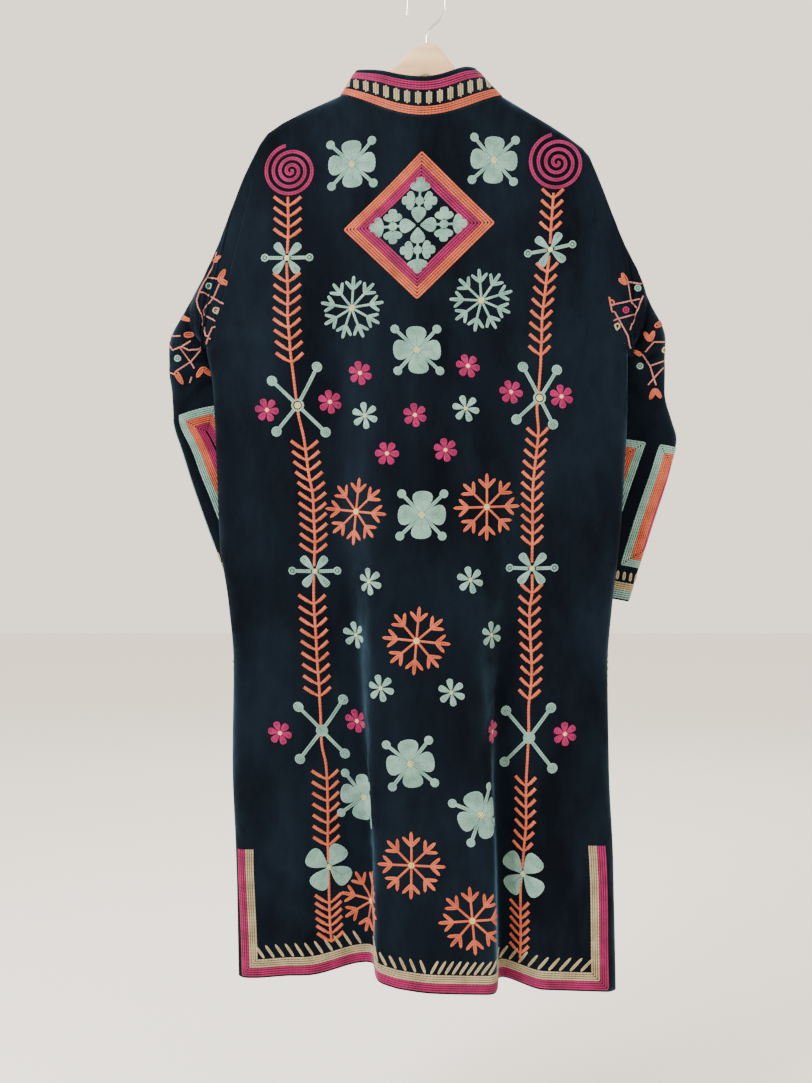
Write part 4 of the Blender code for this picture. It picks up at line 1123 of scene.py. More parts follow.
def sew(chart, colour, paths, width=ROW):
    """Keep rows of stitches along chart paths: even steps by length, then placed on the cloth."""
    for path in paths:
        path = np.asarray(path, float)
        length = length_along(path)
        step = STITCH if length[-1] > LONG_PATH else 0.7 * STITCH
        even = np.linspace(0, length[-1], max(int(length[-1] / step) + 1, 3 if len(path) < 4 else 7))
        a = np.interp(even, length, path[:, 0])
        b = np.interp(even, length, path[:, 1])
        sewn_rows.setdefault((chart.name, colour), []).append((*on_chart(chart, a, b), width))


def print_rows(part):
    """Print how many rows are kept once a part of the design is sewn."""
    print(part, "sewn:", sum(len(kept) for kept in sewn_rows.values()), "rows so far")


# %% [markdown]
# ## Thread as a mesh
#
# All rows of a colour on a piece become one mesh: a flat four-point section is carried along every
# row, and it is narrower at every second place, where one link of the chain slips into the next.

# %% Thread as a mesh
PROFILE = np.array([(-0.5, -0.0003), (-0.27, 0.85), (0.27, 0.85), (0.5, -0.0003)])
LINK_WAIST = 0.80


def add_stitches(name, kept, finish):
    """One mesh of all rows of a colour: a four-point section swept along every path."""
    corners, faces, uvs, start = [], [], [], 0
    for points, normal, width in kept:
        ahead = unit(np.gradient(points, axis=0))
        aside = unit(np.cross(ahead, normal))
        count = len(points)
        link = np.where(np.arange(count) % 2, LINK_WAIST, 1.0)
        half = (width * link)[:, None] * PROFILE[None, :, 0]
        lift = np.where(PROFILE[:, 1] > 0, PROFILE[:, 1] * ROW_HEIGHT, PROFILE[:, 1])
        lift = lift[None, :] * (0.75 + 0.25 * link)[:, None]
        corners.append((points[:, None] + aside[:, None] * half[..., None]
                        + normal[:, None] * lift[..., None]).reshape(-1, 3))
        index = start + np.arange(count * 4).reshape(count, 4)
        faces.append(np.stack([index[:-1, :-1], index[1:, :-1], index[1:, 1:], index[:-1, 1:]],
                              axis=-1).reshape(-1, 4))
        uvs.append(np.stack(np.meshgrid(np.arange(count) * 0.5, np.linspace(0, 1, 4),
                                        indexing="ij"), axis=-1).reshape(-1, 2))
        start += count * 4
    corners, faces, uvs = (np.concatenate(values) for values in (corners, faces, uvs))
    middle = len(kept[0][0]) // 2
    face = corners[faces[3 * min(middle, len(kept[0][0]) - 2) + 1]]
    if np.dot(np.cross(face[1] - face[0], face[3] - face[0]), kept[0][1][middle]) < 0:
        faces = faces[:, ::-1]
    item = add_mesh(name, corners, faces, finish)
    layer = item.data.uv_layers.new(name="links")
    layer.data.foreach_set("uv", uvs[faces.ravel()].ravel().astype(np.float32))
    print(name, len(kept), "rows", len(faces) * 2, "triangles")
    return item


# %% [markdown]
# ## Thread finishes
#
# Wool thread is matt, with a slight fuzz. The bump reads the row's own UV: the distance from the
# row's middle is added to the place along it, and the sum bounces up and down once for every link,
# which draws the two slanted legs of each chain stitch.

# %% Thread finishes
def thread_finish(name, dark, light):
    """Wool thread: two tones by noise, and a bump that draws the V of each chain link."""
    finish = finish_with_noise(name, dark, light, scale=55.0, roughness=0.78, detail=3.0)
    tree = finish.node_tree
    shader = tree.nodes["Principled BSDF"]
    shader.inputs["Sheen Weight"].default_value = 0.15
    shader.inputs["Specular IOR Level"].default_value = 0.2
    place = tree.nodes.new("ShaderNodeTexCoord")
    split = tree.nodes.new("ShaderNodeSeparateXYZ")
    tree.links.new(place.outputs["UV"], split.inputs["Vector"])
    steps = [("SUBTRACT", 0.5), ("ABSOLUTE", None), ("MULTIPLY", 1.3)]
    socket = split.outputs["Y"]
    for operation, value in steps:
        node = tree.nodes.new("ShaderNodeMath")
        node.operation = operation
        tree.links.new(socket, node.inputs[0])
        if value is not None:
            node.inputs[1].default_value = value
        socket = node.outputs[0]
    add = tree.nodes.new("ShaderNodeMath")
    add.operation = "ADD"
    tree.links.new(socket, add.inputs[0])
    tree.links.new(split.outputs["X"], add.inputs[1])
    wave = tree.nodes.new("ShaderNodeMath")
    wave.operation = "PINGPONG"
    wave.inputs[1].default_value = 0.5
    tree.links.new(add.outputs[0], wave.inputs[0])
    relief = tree.nodes.new("ShaderNodeBump")
    relief.inputs["Strength"].default_value = 0.6
    relief.inputs["Distance"].default_value = 0.0008
    tree.links.new(wave.outputs[0], relief.inputs["Height"])
    tree.links.new(relief.outputs["Normal"], shader.inputs["Normal"])
    return finish


THREADS = {
    "magenta": thread_finish("thread_magenta", (0.135, 0.0006, 0.034), (0.235, 0.0022, 0.066)),
    "coral": thread_finish("thread_coral", (0.280, 0.046, 0.018), (0.405, 0.086, 0.038)),
    "mint": thread_finish("thread_mint", (0.095, 0.188, 0.160), (0.170, 0.295, 0.258)),
    "beige": thread_finish("thread_beige", (0.190, 0.150, 0.082), (0.300, 0.245, 0.145)),
    "cream": thread_finish("thread_cream", (0.400, 0.310, 0.110), (0.540, 0.450, 0.210)),
    "pink": thread_finish("thread_pink", (0.230, 0.072, 0.062), (0.330, 0.125, 0.110)),
}
print("threads", *THREADS)

# %% [markdown]
# ## Shapes filled with rows
#
# The motifs are common folk ones: spirals, stars, four- and six-petalled flowers, sprigs and vines.
# Each is a function that returns chart paths round the motif's middle, a to the right and b up.
# Chain stitch fills a shape well from its outline inwards, and so do the functions below.

# %% Shapes filled with rows
def turned(paths, degrees, middle=(0, 0)):
    """Paths turned about (0, 0) and moved to a middle."""
    angle = np.radians(degrees)
    spin = np.array([[np.cos(angle), np.sin(angle)], [-np.sin(angle), np.cos(angle)]])
    return [np.asarray(path) @ spin + np.asarray(middle) for path in paths]


def ring(radius, middle=(0, 0)):
    """A closed circle."""
    angle = np.linspace(0, 2 * np.pi, 25)
    return np.stack([middle[0] + radius * np.cos(angle), middle[1] + radius * np.sin(angle)], axis=1)


def disc(radius, middle=(0, 0)):
    """Rings one inside the other, a row apart."""
    count = max(int(round(radius / (0.8 * ROW))), 1)
    return [ring(size, middle) for size in np.linspace(radius - ROW / 2, 0.36 * ROW, count)]


def filled(outline, middle, half_width):
    """An outline and copies of it drawn in towards its middle, each a row further."""
    count = max(int(np.ceil(half_width / (0.84 * ROW))), 1)
    insets = np.linspace(ROW / 2, max(half_width - 0.36 * ROW, ROW / 2), count)
    return [middle + (outline - middle) * (1 - inset / half_width) for inset in insets]


def leaf(start, end, half_width, rounding=0.55):
    """A closed leaf between two points; its width follows sine to the power of rounding."""
    start, end = np.asarray(start, float), np.asarray(end, float)
    t = np.linspace(0, 1, 13)
    across = np.array([start[1] - end[1], end[0] - start[0]]) / np.linalg.norm(end - start)
    swell = half_width * np.sin(np.pi * t ** 0.8) ** rounding
    one = start + (end - start) * t[:, None] + across * swell[:, None]
    other = start + (end - start) * t[:, None] - across * swell[:, None]
    return np.concatenate([one, other[::-1]])


def leaf_rows(start, end, half_width):
    """A leaf filled with rows: its outline, and a middle row if there is room."""
    inner = max(half_width - ROW / 2, 0.0006)
    paths = [leaf(start, end, inner)]
    if half_width > 1.1 * ROW:
        start, end = np.asarray(start, float), np.asarray(end, float)
        paths.append(np.array([start + (end - start) * 0.2, start + (end - start) * 0.8]))
    return paths


# %% [markdown]
# ## Petals and flowers
#
# A petal is a fan from the flower's middle: a radius that stays long over most of its angle and
# falls off fast at both sides. Flowers are petals turned round the middle, some with dotted spokes.

# %% Petals and flowers
def fan(reach, half_angle, corner=5):
    """A petal's outline: a fan whose radius is reach * sqrt(1 - |angle share|^corner)."""
    share = np.linspace(-1, 1, 33)
    radius = reach * np.sqrt(1 - np.abs(share) ** corner)
    angle = np.radians(half_angle) * share
    return np.stack([radius * np.sin(angle), radius * np.cos(angle)], axis=1)


def four_petals(reach, half_angle):
    """Four filled fans round the middle."""
    outline = fan(reach, half_angle)
    middle = np.array([0, 0.60 * reach])
    petal = filled(outline, middle, reach * np.sin(np.radians(half_angle)) * 0.76)
    return sum((turned(petal, 90 * count) for count in range(4)), [])


def spoke(to, dot, start):
    """Two straight rows side by side, out to a filled dot."""
    to = np.asarray(to, float)
    ahead = to / np.linalg.norm(to)
    aside = np.array([-ahead[1], ahead[0]]) * ROW * 0.42
    return ([np.array([ahead * start + aside * k, to - ahead * dot * 0.6 + aside * k]) for k in (-1, 1)]
            + disc(dot, to))


def small_flower(reach, petals, half_angle):
    """A flower of fan petals, each two rows deep, round the middle."""
    outline = fan(reach, half_angle, 4)
    petal = filled(outline, np.array([0, 0.58 * reach]), reach * np.sin(np.radians(half_angle)) * 0.8)
    return sum((turned(petal, 360 * count / petals + 8) for count in range(petals)), [])


# %% [markdown]
# ## Stars, spirals and buds
#
# A frost star is a ring of straight arms that fork into three round lobes. A spiral is two rows wound
# together, and a bud is three fans from one point, as on the sprigs in the diamond.

# %% Stars, spirals and buds
def frost(reach, arms, stem_width, first=0.0):
    """A star of arms with forked ends: paths with their widths, stems first, then round lobes."""
    stems, lobes = [], []
    for count in range(arms):
        angle = 2 * np.pi * count / arms + first
        ahead = np.array([np.sin(angle), np.cos(angle)])
        stems.append(np.array([ahead * 0.10 * reach, ahead * 0.70 * reach]))
        lobes.append(leaf(ahead * 0.64 * reach, ahead * reach, 0.0013, 0.35))
        for side in (-44, 44):
            lean = turned([ahead], side)[0]
            root = ahead * 0.58 * reach
            lobes.append(leaf(root, root + lean * 0.36 * reach, 0.0012, 0.35))
    return [(stems, stem_width), (lobes, ROW)]


def spiral(reach, turns, tail=0.0):
    """Two rows side by side on an Archimedean spiral, radius growing evenly with the angle."""
    paths = []
    for offset in (-0.42 * ROW, 0.42 * ROW):
        angle = np.linspace(0.6, 2 * np.pi * turns + tail, 160)
        radius = reach * (angle / (2 * np.pi * turns)) ** 1.12 - 0.8 * ROW + offset
        paths.append(np.stack([radius * np.sin(angle), radius * np.cos(angle)], axis=1)[radius > 0.0006])
    return paths


def bud(root, ahead, reach):
    """Three filled fans from one point: a long one ahead and two beside it."""
    paths = []
    for side, length in ((0, 1.0), (-46, 0.82), (46, 0.82)):
        size = reach * length
        lobe = filled(fan(size, 29, 4), np.array([0, 0.6 * size]), size * 0.39)
        paths += turned(lobe, side - np.degrees(np.arctan2(ahead[0], ahead[1])), root)
    return paths


# %% [markdown]
# ## Flowers and stars on the back
#
# The tables hold places read off the photograph, in its pixels. A motif's size is its own,
# in metres on the cloth, so one that lies on the side of a fold looks narrow, as in the photograph.

# %% Flowers and stars on the back
Mark = namedtuple("Mark", "x y turn")
CROSS_FLOWERS = [Mark(352, 164, 4), Mark(494, 160, -2), Mark(417, 350, 0), Mark(422, 515, 0),
                 Mark(410.5, 764, 6), Mark(481, 815, 22), Mark(364, 797, -12)]
MINT_FROST = [Mark(352, 308, 0), Mark(481.5, 300.5, 8)]
CORAL_FROST = [Mark(356, 511.5, 0), Mark(487, 507, 8), Mark(416.5, 641, 0), Mark(411.5, 865.5, 4),
               Mark(472.5, 921, 10), Mark(371, 901, -8)]
MAGENTA_FLOWERS = [Mark(360, 373, 0), Mark(468, 366, 10), Mark(415, 415, 0), Mark(387, 453.5, 20),
                   Mark(445.5, 450, 5), Mark(267, 410, 15), Mark(330, 402, 0), Mark(511, 392, 12),
                   Mark(561.5, 396.5, 0), Mark(280, 733, 8), Mark(357, 721, 0), Mark(565, 734, 0),
                   Mark(492, 731.5, 0)]
MINT_FLOWERS = [Mark(365, 415.5, 0), Mark(466, 408.5, 10), Mark(369, 581.5, 0), Mark(470.5, 580, 5),
                Mark(356, 635, 0), Mark(491.5, 635, 0), Mark(380.5, 688.4, 5), Mark(451.6, 692.5, 0)]
CROSS_SPOKE = 0.0395
CROSS_DOT = 0.0062
CROSS_MIDDLE = 0.0048
FROST_MIDDLE = 0.0046
MAGENTA_MIDDLE = 0.0036
MINT_MIDDLE = 0.0032


def place_motif(chart, colour, at, turn, layers, middle):
    """Sew a motif's layers of paths, each with its row width, and a cream middle."""
    for paths, width in layers:
        sew(chart, colour, turned(paths, turn, at), width)
    sew(chart, "cream", disc(middle, at))


cross_flower = four_petals(0.0318, 39)
for corner in (45, 135, 225, 315):
    angle = np.radians(corner)
    cross_flower += spoke(np.array([np.sin(angle), np.cos(angle)]) * CROSS_SPOKE, CROSS_DOT, 0.005)
cross_flower = [(cross_flower, ROW)]
magenta_flower = [(small_flower(0.0165, 6, 27), ROW)]
mint_flower = [(small_flower(0.0190, 6, 21), ROW)]
mint_frost = frost(0.0425, 9, 0.0040)
coral_frost = frost(0.0440, 8, 0.0038, 0.1)
for colour, marks, layers, middle in (
        ("mint", CROSS_FLOWERS, cross_flower, CROSS_MIDDLE), ("mint", MINT_FROST, mint_frost, FROST_MIDDLE),
        ("coral", CORAL_FROST, coral_frost, FROST_MIDDLE),
        ("magenta", MAGENTA_FLOWERS, magenta_flower, MAGENTA_MIDDLE),
        ("mint", MINT_FLOWERS, mint_flower, MINT_MIDDLE)):
    for mark in marks:
        place_motif(back_chart, colour, from_photo(back_chart, mark.x, mark.y), mark.turn, layers, middle)
print_rows("flowers and stars")

# %% [markdown]
# ## The two vines
#
# A coral stem climbs each side of the back, with pairs of short twigs like a feather's barbs.
# It stops short of every flower on it, so that no stem shows through a flower's middle.

# %% Stems and twigs
VINE_STARS = [Mark(287, 258, 0), Mark(550.4, 249.6, 12), Mark(315, 571.5, 0), Mark(532, 568.6, 0)]
VINE_FLOWERS = [Mark(329, 867, 6), Mark(523, 874, -4)]
Sprig = namedtuple("Sprig", "x y open dots")
VINE_CROSSES = [
    Sprig(297.6, 405.3, True, [(272, 381), (317, 367), (276.6, 431.6), (325.7, 432.3)]),
    Sprig(539.6, 398, True, [(523, 367), (557, 370), (516.6, 419.5), (553, 424.4)]),
    Sprig(322, 730.5, False, [(298.5, 707), (343.3, 699.5), (300, 759), (345, 753.5)]),
    Sprig(529, 738, False, [(506, 710.6), (551, 708), (504.5, 761.7), (552.3, 768.3)]),
]
LEFT_STEM = [(288, 197), (288, 239), (287, 258), (288, 300), (294, 380), (298, 412), (304, 439),
             (309, 475), (313, 497), (314, 520), (315, 541), (314, 572), (314, 603), (316, 636),
             (317.4, 662), (319.3, 688), (321, 728), (322, 746), (326, 764), (328, 811), (328, 846),
             (329, 887), (330, 921), (331.7, 942)]
RIGHT_STEM = [(553.6, 193), (551, 231), (550, 250), (548, 267), (543, 310), (541, 357), (539.6, 380),
              (537, 409), (538.5, 432), (535, 466), (533, 487), (532.4, 542), (532, 564), (532, 594),
              (530, 606), (531, 686), (529, 703), (528.6, 733), (526.3, 779), (526, 824),
              (523.6, 852), (520.4, 895), (520.7, 935), (520, 958)]
Twigs = namedtuple("Twigs", "first last count")
LEFT_TWIGS = [Twigs(206, 238, 4), Twigs(282, 362, 8), Twigs(450, 553, 11), Twigs(604, 696, 9),
              Twigs(779, 845, 7), Twigs(903, 941, 6)]
RIGHT_TWIGS = [Twigs(198, 231, 4), Twigs(272, 355, 8), Twigs(437, 545, 11), Twigs(593, 699, 10),
               Twigs(786, 851, 7), Twigs(910, 953, 6)]
TWIG_RISE = 0.0122
STEM_CLEAR = 0.0052
STEM_WIDTH = 0.0044
TWIG_WIDTH = 0.0040
TWIG_END_WIDTH = 0.0054


def without(path, middles, radius):
    """The stretches of a path that lie further than radius from every middle."""
    gaps = np.linalg.norm(path[:, None] - np.array(middles)[None], axis=2).min(axis=1) > radius
    cuts = np.flatnonzero(np.diff(gaps.astype(int))) + 1
    return [part for part, kept in zip(np.split(path, cuts), np.split(gaps, cuts))
            if kept[0] and len(part) > 1]


def twig(a, b, reach):
    """A twig from the stem: out at an even pace, and up with the power 1.3 of that."""
    t = np.linspace(0, 1, 6)
    return np.stack([a + reach * t, b + TWIG_RISE * t ** 1.3], axis=1)


on_vines = [from_photo(back_chart, mark.x, mark.y) for mark in VINE_STARS + VINE_FLOWERS + VINE_CROSSES]
for stem, twigs, reaches in ((LEFT_STEM, LEFT_TWIGS, (-0.0195, 0.0165)),
                             (RIGHT_STEM, RIGHT_TWIGS, (-0.0155, 0.0130))):
    path = photo_path(back_chart, stem)
    sew(back_chart, "coral", without(path, on_vines, STEM_CLEAR), STEM_WIDTH)
    stem_x, stem_y = np.array(stem).T
    roots = np.concatenate([np.linspace(run.first, run.last, run.count) for run in twigs])
    heights = [from_photo(back_chart, np.interp(y, stem_y, stem_x), y)[1] for y in roots]
    for b in heights:
        a = np.interp(-b, -path[:, 1], path[:, 0])
        for reach in reaches:
            line = twig(a, b, reach)
            sew(back_chart, "coral", [line], TWIG_WIDTH)
            sew(back_chart, "coral", [line[2:]], TWIG_END_WIDTH)
print_rows("stems and twigs")

# %% [markdown]
# ## Flowers on the vines, and spirals
#
# Small stars, crosses with dotted ends and one large flower sit on each vine. A magenta spiral
# crowns it on the shoulder. Chain stitch suits a spiral, because its row can turn tightly.

# %% Flowers on the vines
STAR_MIDDLE = 0.0040
VINE_FLOWER_MIDDLE = 0.0042
SPRIG_RING = 0.0072
SPRIG_CORE = 0.0048
SPRIG_DISC = 0.0085
SPRIG_DOT = 0.0072
SPRIG_START = 0.007         # where the spokes begin, measured from the middle
Spiral = namedtuple("Spiral", "x y reach turn tail")
SPIRALS = [Spiral(291, 171, 0.0365, 150, 0.5), Spiral(557.5, 162.7, 0.0405, 120, 0.0)]

vine_star = sum((turned(filled(fan(0.0265, 19, 4), np.array([0, 0.0155]), 0.0074), turn)
                 for turn in (40, 140, 220, 320)), [])
for side in (-1, 1):
    vine_star += spoke((side * 0.0300, 0.001), 0.0056, 0.005)
vine_star = [(vine_star, ROW)]
vine_flower = [(turned(four_petals(0.0338, 37), 50), ROW)]
for marks, layers, middle in ((VINE_STARS, vine_star, STAR_MIDDLE),
                              (VINE_FLOWERS, vine_flower, VINE_FLOWER_MIDDLE)):
    for mark in marks:
        place_motif(back_chart, "mint", from_photo(back_chart, mark.x, mark.y), mark.turn, layers, middle)
for sprig in VINE_CROSSES:
    at = from_photo(back_chart, sprig.x, sprig.y)
    if sprig.open:
        sew(back_chart, "mint", [ring(SPRIG_RING, at)], width=0.0036)
        sew(back_chart, "cream", disc(SPRIG_CORE, at))
    else:
        sew(back_chart, "mint", disc(SPRIG_DISC, at))
    for dot in sprig.dots:
        to = from_photo(back_chart, *dot) - at
        sew(back_chart, "mint", turned(spoke(to, SPRIG_DOT, SPRIG_START), 0, at))
for wheel in SPIRALS:
    at = from_photo(back_chart, wheel.x, wheel.y)
    sew(back_chart, "magenta", turned(spiral(wheel.reach, 4.3, wheel.tail), wheel.turn, at))
print_rows("flowers on the vines and spirals")

# %% [markdown]
# ## The diamond
#
# Between the shoulders sits a diamond with a coral and a magenta border, and a field of mint buds.

# %% Diamond
DIAMOND_CORNERS = [(422, 150.5), (495.5, 222.5), (417, 300), (343, 230)]
DIAMOND_CENTRE = (418, 225)
HALF_SIDE = 0.069           # from the diamond's middle square to a side
DIAMOND_EDGE = 0.0016       # the outer row's distance inside the side
DIAMOND_STEP = 0.0031       # from one row to the next
BAND_ROWS = 4
KNOT_SHARE = 0.335          # of the way from the middle to a corner
KNOT = 0.0062

corners = photo_line(back_chart, DIAMOND_CORNERS)
centre = from_photo(back_chart, *DIAMOND_CENTRE)
for colour, first in (("coral", DIAMOND_EDGE), ("magenta", DIAMOND_EDGE + BAND_ROWS * DIAMOND_STEP)):
    for number in range(BAND_ROWS):
        shrunk = centre + (corners - centre) * (1 - (first + number * DIAMOND_STEP) / HALF_SIDE)
        sew(back_chart, colour, [np.concatenate([shrunk, shrunk[:1]])], width=0.0033)
for corner in corners:
    ahead = unit(corner - centre)
    reach = np.linalg.norm(corner - centre)
    knot = centre + ahead * KNOT_SHARE * reach
    sew(back_chart, "mint", disc(KNOT, knot))
    sew(back_chart, "mint", [np.array([knot, centre + ahead * 0.2 * reach]),
                             np.array([knot, knot + ahead * 0.014])], width=0.0040)
    sew(back_chart, "mint", bud(knot + ahead * 0.0112, ahead, 0.0205))
    for side in (-90, 90):
        aside = turned([ahead], side)[0]
        sew(back_chart, "mint", bud(knot + aside * 0.0050, aside, 0.0190))
    petal = filled(fan(0.0225, 43, 4), np.array([0, 0.0145]), 0.0112)
    turn = -np.degrees(np.arctan2(ahead[0], ahead[1]))
    sew(back_chart, "mint", turned(petal, turn, centre + ahead * 0.002))
print_rows("the diamond")

# %% [markdown]
# ## Borders round the hem and the vents
#
# A magenta and a beige band run up the side vents and along the hem, each of four rows.
# Their paths keep a set distance from the cloth's own edge, so they follow its wave and its folds.

# %% Borders
VENT_TOP = -1.168
RIGHT_VENT_RISE = 0.011     # the right border reaches higher than the left one
VENT_FOOT = -1.34           # a little below the hem's border, which cuts the sides off
HEM_AT = -1.335             # just above the hem's corners, where its ends are read
EDGE_INSET = 0.0034         # from the cloth's edge to the first row
BANDS = [("magenta", EDGE_INSET), ("beige", EDGE_INSET + BAND_ROWS * ROW)]
SIDE_INSETS = ((0.0095, 0.006), (0.0185, 0.012))


def hem_of(chart, grid, a):
    """Height of the hem at places a: the lowest row's z, against its own chart length."""
    z = grid[-1, :, 2]
    row = np.clip(np.searchsorted(chart.b, z), 0, len(chart.b) - 1)
    return np.interp(a, chart.run[row, np.arange(grid.shape[1])], z)


def border(chart, grid, inset, up_again, sides=((0, 0), (0, 0)), tops=(VENT_TOP, VENT_TOP)):
    """A row set in from the edge: down one side, along the hem, and up the other if up_again.

    Each side has an extra distance from the edge at its top and at its foot.
    """
    b = [np.linspace(top, VENT_FOOT, 40) for top in tops]
    left = np.stack([ends_of(chart, b[0])[0] + inset + np.linspace(*sides[0], 40), b[0]], axis=1)
    right = np.stack([ends_of(chart, b[1])[1] - inset - np.linspace(*sides[1], 40), b[1]], axis=1)
    ends = ends_of(chart, np.array([HEM_AT]))
    a = np.linspace(ends[0][0] + inset + sides[0][1], ends[1][0] - inset - sides[1][1], 160)
    hem = np.stack([a, hem_of(chart, grid, a) + inset], axis=1)
    left = left[left[:, 1] > hem[0, 1]]
    right = right[right[:, 1] > hem[-1, 1]]
    return np.concatenate([left, hem] + ([right[::-1]] if up_again else []))


for colour, first in BANDS:
    for number in range(BAND_ROWS):
        sew(back_chart, colour, [border(back_chart, back_grid, first + number * ROW, True, SIDE_INSETS,
                                        (VENT_TOP, VENT_TOP + RIGHT_VENT_RISE))])
print_rows("borders")

# %% [markdown]
# ## Strokes on the hem's band
#
# Slanted beige strokes stand on the band like a fringe. They lean away from the middle of the back,
# so each run in the table has a lean at its first and at its last stroke.

# %% Strokes
STROKE_FOOT = 0.0265
STROKE_HEIGHT = 0.0165
Strokes = namedtuple("Strokes", "x0 y0 x1 y1 count lean0 lean1")
HEM_STROKES = [Strokes(264, 950, 361, 938, 11, -0.0110, -0.0105),
               Strokes(373, 955, 425, 972, 8, -0.0120, -0.0060),
               Strokes(431, 975, 489, 975, 9, 0.0095, 0.0135),
               Strokes(497, 960, 581, 968, 11, 0.0115, 0.0160)]
for run in HEM_STROKES:
    first, last = from_photo(back_chart, run.x0, run.y0), from_photo(back_chart, run.x1, run.y1)
    for share in np.linspace(0, 1, run.count):
        a = first[0] + (last[0] - first[0]) * share
        foot = np.array([a, hem_of(back_chart, back_grid, a) + STROKE_FOOT])
        lean = run.lean0 + (run.lean1 - run.lean0) * share
        sew(back_chart, "beige", [leaf(foot, foot + (lean, STROKE_HEIGHT), 0.0010, 0.5)], width=0.0024)
print_rows("strokes")

# %% [markdown]
# ## The neckband's design
#
# The band has a magenta edge above and a coral edge below, each of four rows, with a line of upright
# beige bars between. A bar is three short rows side by side, the outer two a little shorter.

# %% The neckband's design
BAR_STEP = 0.0146
BAR_ROW = 0.0027
BAR_FOOT = 0.0138
BAR_HEAD = 0.0305
NECKBAND_EDGES = [("coral", (0.0020, 0.0047, 0.0076, 0.0103)),
                  ("magenta", (0.0338, 0.0365, 0.0396, 0.0423))]
first, last = ends_of(band_chart, np.array([BAND_HEIGHT / 2]))
a = np.linspace(first[0] + 0.003, last[0] - 0.003, 200)
for colour, heights in NECKBAND_EDGES:
    for b in heights:
        sew(band_chart, colour, [np.stack([a, np.full(len(a), b)], axis=1)])
for a in np.arange(first[0] + 0.010, last[0] - 0.008, BAR_STEP):
    for offset in (-BAR_ROW, 0.0, BAR_ROW):
        sew(band_chart, "beige", [np.array([(a + offset, BAR_FOOT + abs(offset) * 0.6),
                                            (a + offset * 1.05, BAR_HEAD - abs(offset) * 0.6)])])
print_rows("the neckband")

# %% [markdown]
# ## Cuffs and forearms
#
# The cuffs carry a mint and a beige band under a row of slanted leaves. Three tall patches stand
# round each forearm, drawn as rectangles one inside the other in three colours.

# %% Cuffs and forearms
CUFF_EDGE = 0.0035
PATCH_ROW = 0.92 * ROW
SMALLEST_PATCH = 0.004      # a patch is full when half its width, in shares of the girth, is less


def round_sleeve(chart, b, shares):
    """A path round the sleeve at height b: shares of its own girth, from the outer fold."""
    first, last = ends_of(chart, b)
    return np.stack([shares * (last - first), b], axis=1)


Patch = namedtuple("Patch", "middle half_width foot head")
PATCHES = {"left": [Patch(0.2165 + k / 3, 0.1315, 0.048, 0.235) for k in range(3)],
           "right": [Patch(-0.0135 + k / 3, 0.1315, 0.048, 0.222) for k in range(3)]}
PATCH_BANDS = {"left": [("mint", 4), ("coral", 4), ("magenta", 4)],
               "right": [("mint", 4), ("coral", 5), ("magenta", 4)]}


def nested_rectangles(chart, patch, bands):
    """Sew a patch from its outline inwards: rows of one colour after another, evenly apart."""
    girth = np.ptp(np.array(ends_of(chart, np.array([0.14])))[:, 0])
    inset = ROW / 2
    for colour in [colour for colour, count in bands for _ in range(count)]:
        half = patch.half_width - inset / girth
        foot, head = patch.foot + inset, patch.head - inset
        if half >= SMALLEST_PATCH:
            b = np.concatenate([np.linspace(foot, head, 40), np.full(12, head),
                                np.linspace(head, foot, 40), np.full(12, foot)])
            share = np.concatenate([np.full(40, -half), np.linspace(-half, half, 12),
                                    np.full(40, half), np.linspace(half, -half, 12)])
            sew(chart, colour, [round_sleeve(chart, b, patch.middle + share)])
            inset += PATCH_ROW


for name, chart in sleeve_charts.items():
    shares = np.linspace(-0.5, 0.5, 120)
    for colour, first in (("mint", CUFF_EDGE), ("beige", CUFF_EDGE + BAND_ROWS * ROW)):
        for number in range(BAND_ROWS):
            sew(chart, colour, [round_sleeve(chart, np.full(120, first + number * ROW), shares)])
    for share in np.arange(-0.5, 0.49, 0.034):
        foot, tip = round_sleeve(chart, np.array([0.0285, 0.0395]), np.array([share, share + 0.006]))
        sew(chart, "beige", [leaf(foot, tip, 0.0012, 0.4)], width=0.0026)
    for patch in PATCHES[name]:
        nested_rectangles(chart, patch, PATCH_BANDS[name])
print_rows("cuffs and forearms")

# %% [markdown]
# ## Places on the upper sleeves
#
# Above the elbow each sleeve has a fine pink lattice with coral leaves and small dots, of which only
# a part faces the camera. The tables hold its lines and leaves in the photograph's pixels.

# %% Places on the upper sleeves
LEFT_LATTICE = [
    [(217.3, 252.2), (210.2, 271.6), (206.6, 277.8), (200, 290), (196.6, 300.2), (198, 307.3),
     (201, 313.5), (203, 323.7), (205.6, 334.9), (207, 344)],
    [(206.6, 277.2), (217.3, 279)], [(219.4, 283.9), (213.3, 298.2), (202.6, 310.9), (205.1, 315.5),
                                     (216.3, 321.6)],
    [(200, 292), (204, 292.6), (213.3, 298.2), (223.7, 304)], [(206.1, 335.4), (215.3, 326.7)],
    [(206, 336), (210.7, 339)], [(170.4, 336.4), (180.6, 335.9)],
    [(168.9, 342), (172.4, 350.2), (181.6, 346.6), (190.8, 341)],
    [(181.6, 346.6), (188.8, 350.2), (200, 349.2)], [(179.6, 347.1), (190.8, 362.4), (194.4, 368.6)],
    [(201, 349.7), (190.8, 361.9), (175.5, 371.6)], [(170.4, 372.7), (175.5, 374.7)],
    [(191.8, 376.7), (189.8, 382.9)],
]
RIGHT_LATTICE = [
    [(628, 282), (642, 284)], [(628, 282), (631, 302), (637, 308)], [(611, 305), (640, 299)],
    [(614, 320), (636, 314)], [(611, 305), (628, 336), (630, 348)], [(643, 296), (630, 330)],
    [(654, 342), (665, 342)], [(642, 354), (650, 366), (656, 385)], [(663, 368), (648, 385)],
    [(645, 352), (654, 342)], [(650, 366), (664, 361)],
]
Lobe = namedtuple("Lobe", "x0 y0 x1 y1 half_width")
LATTICES = {"left": LEFT_LATTICE, "right": RIGHT_LATTICE}
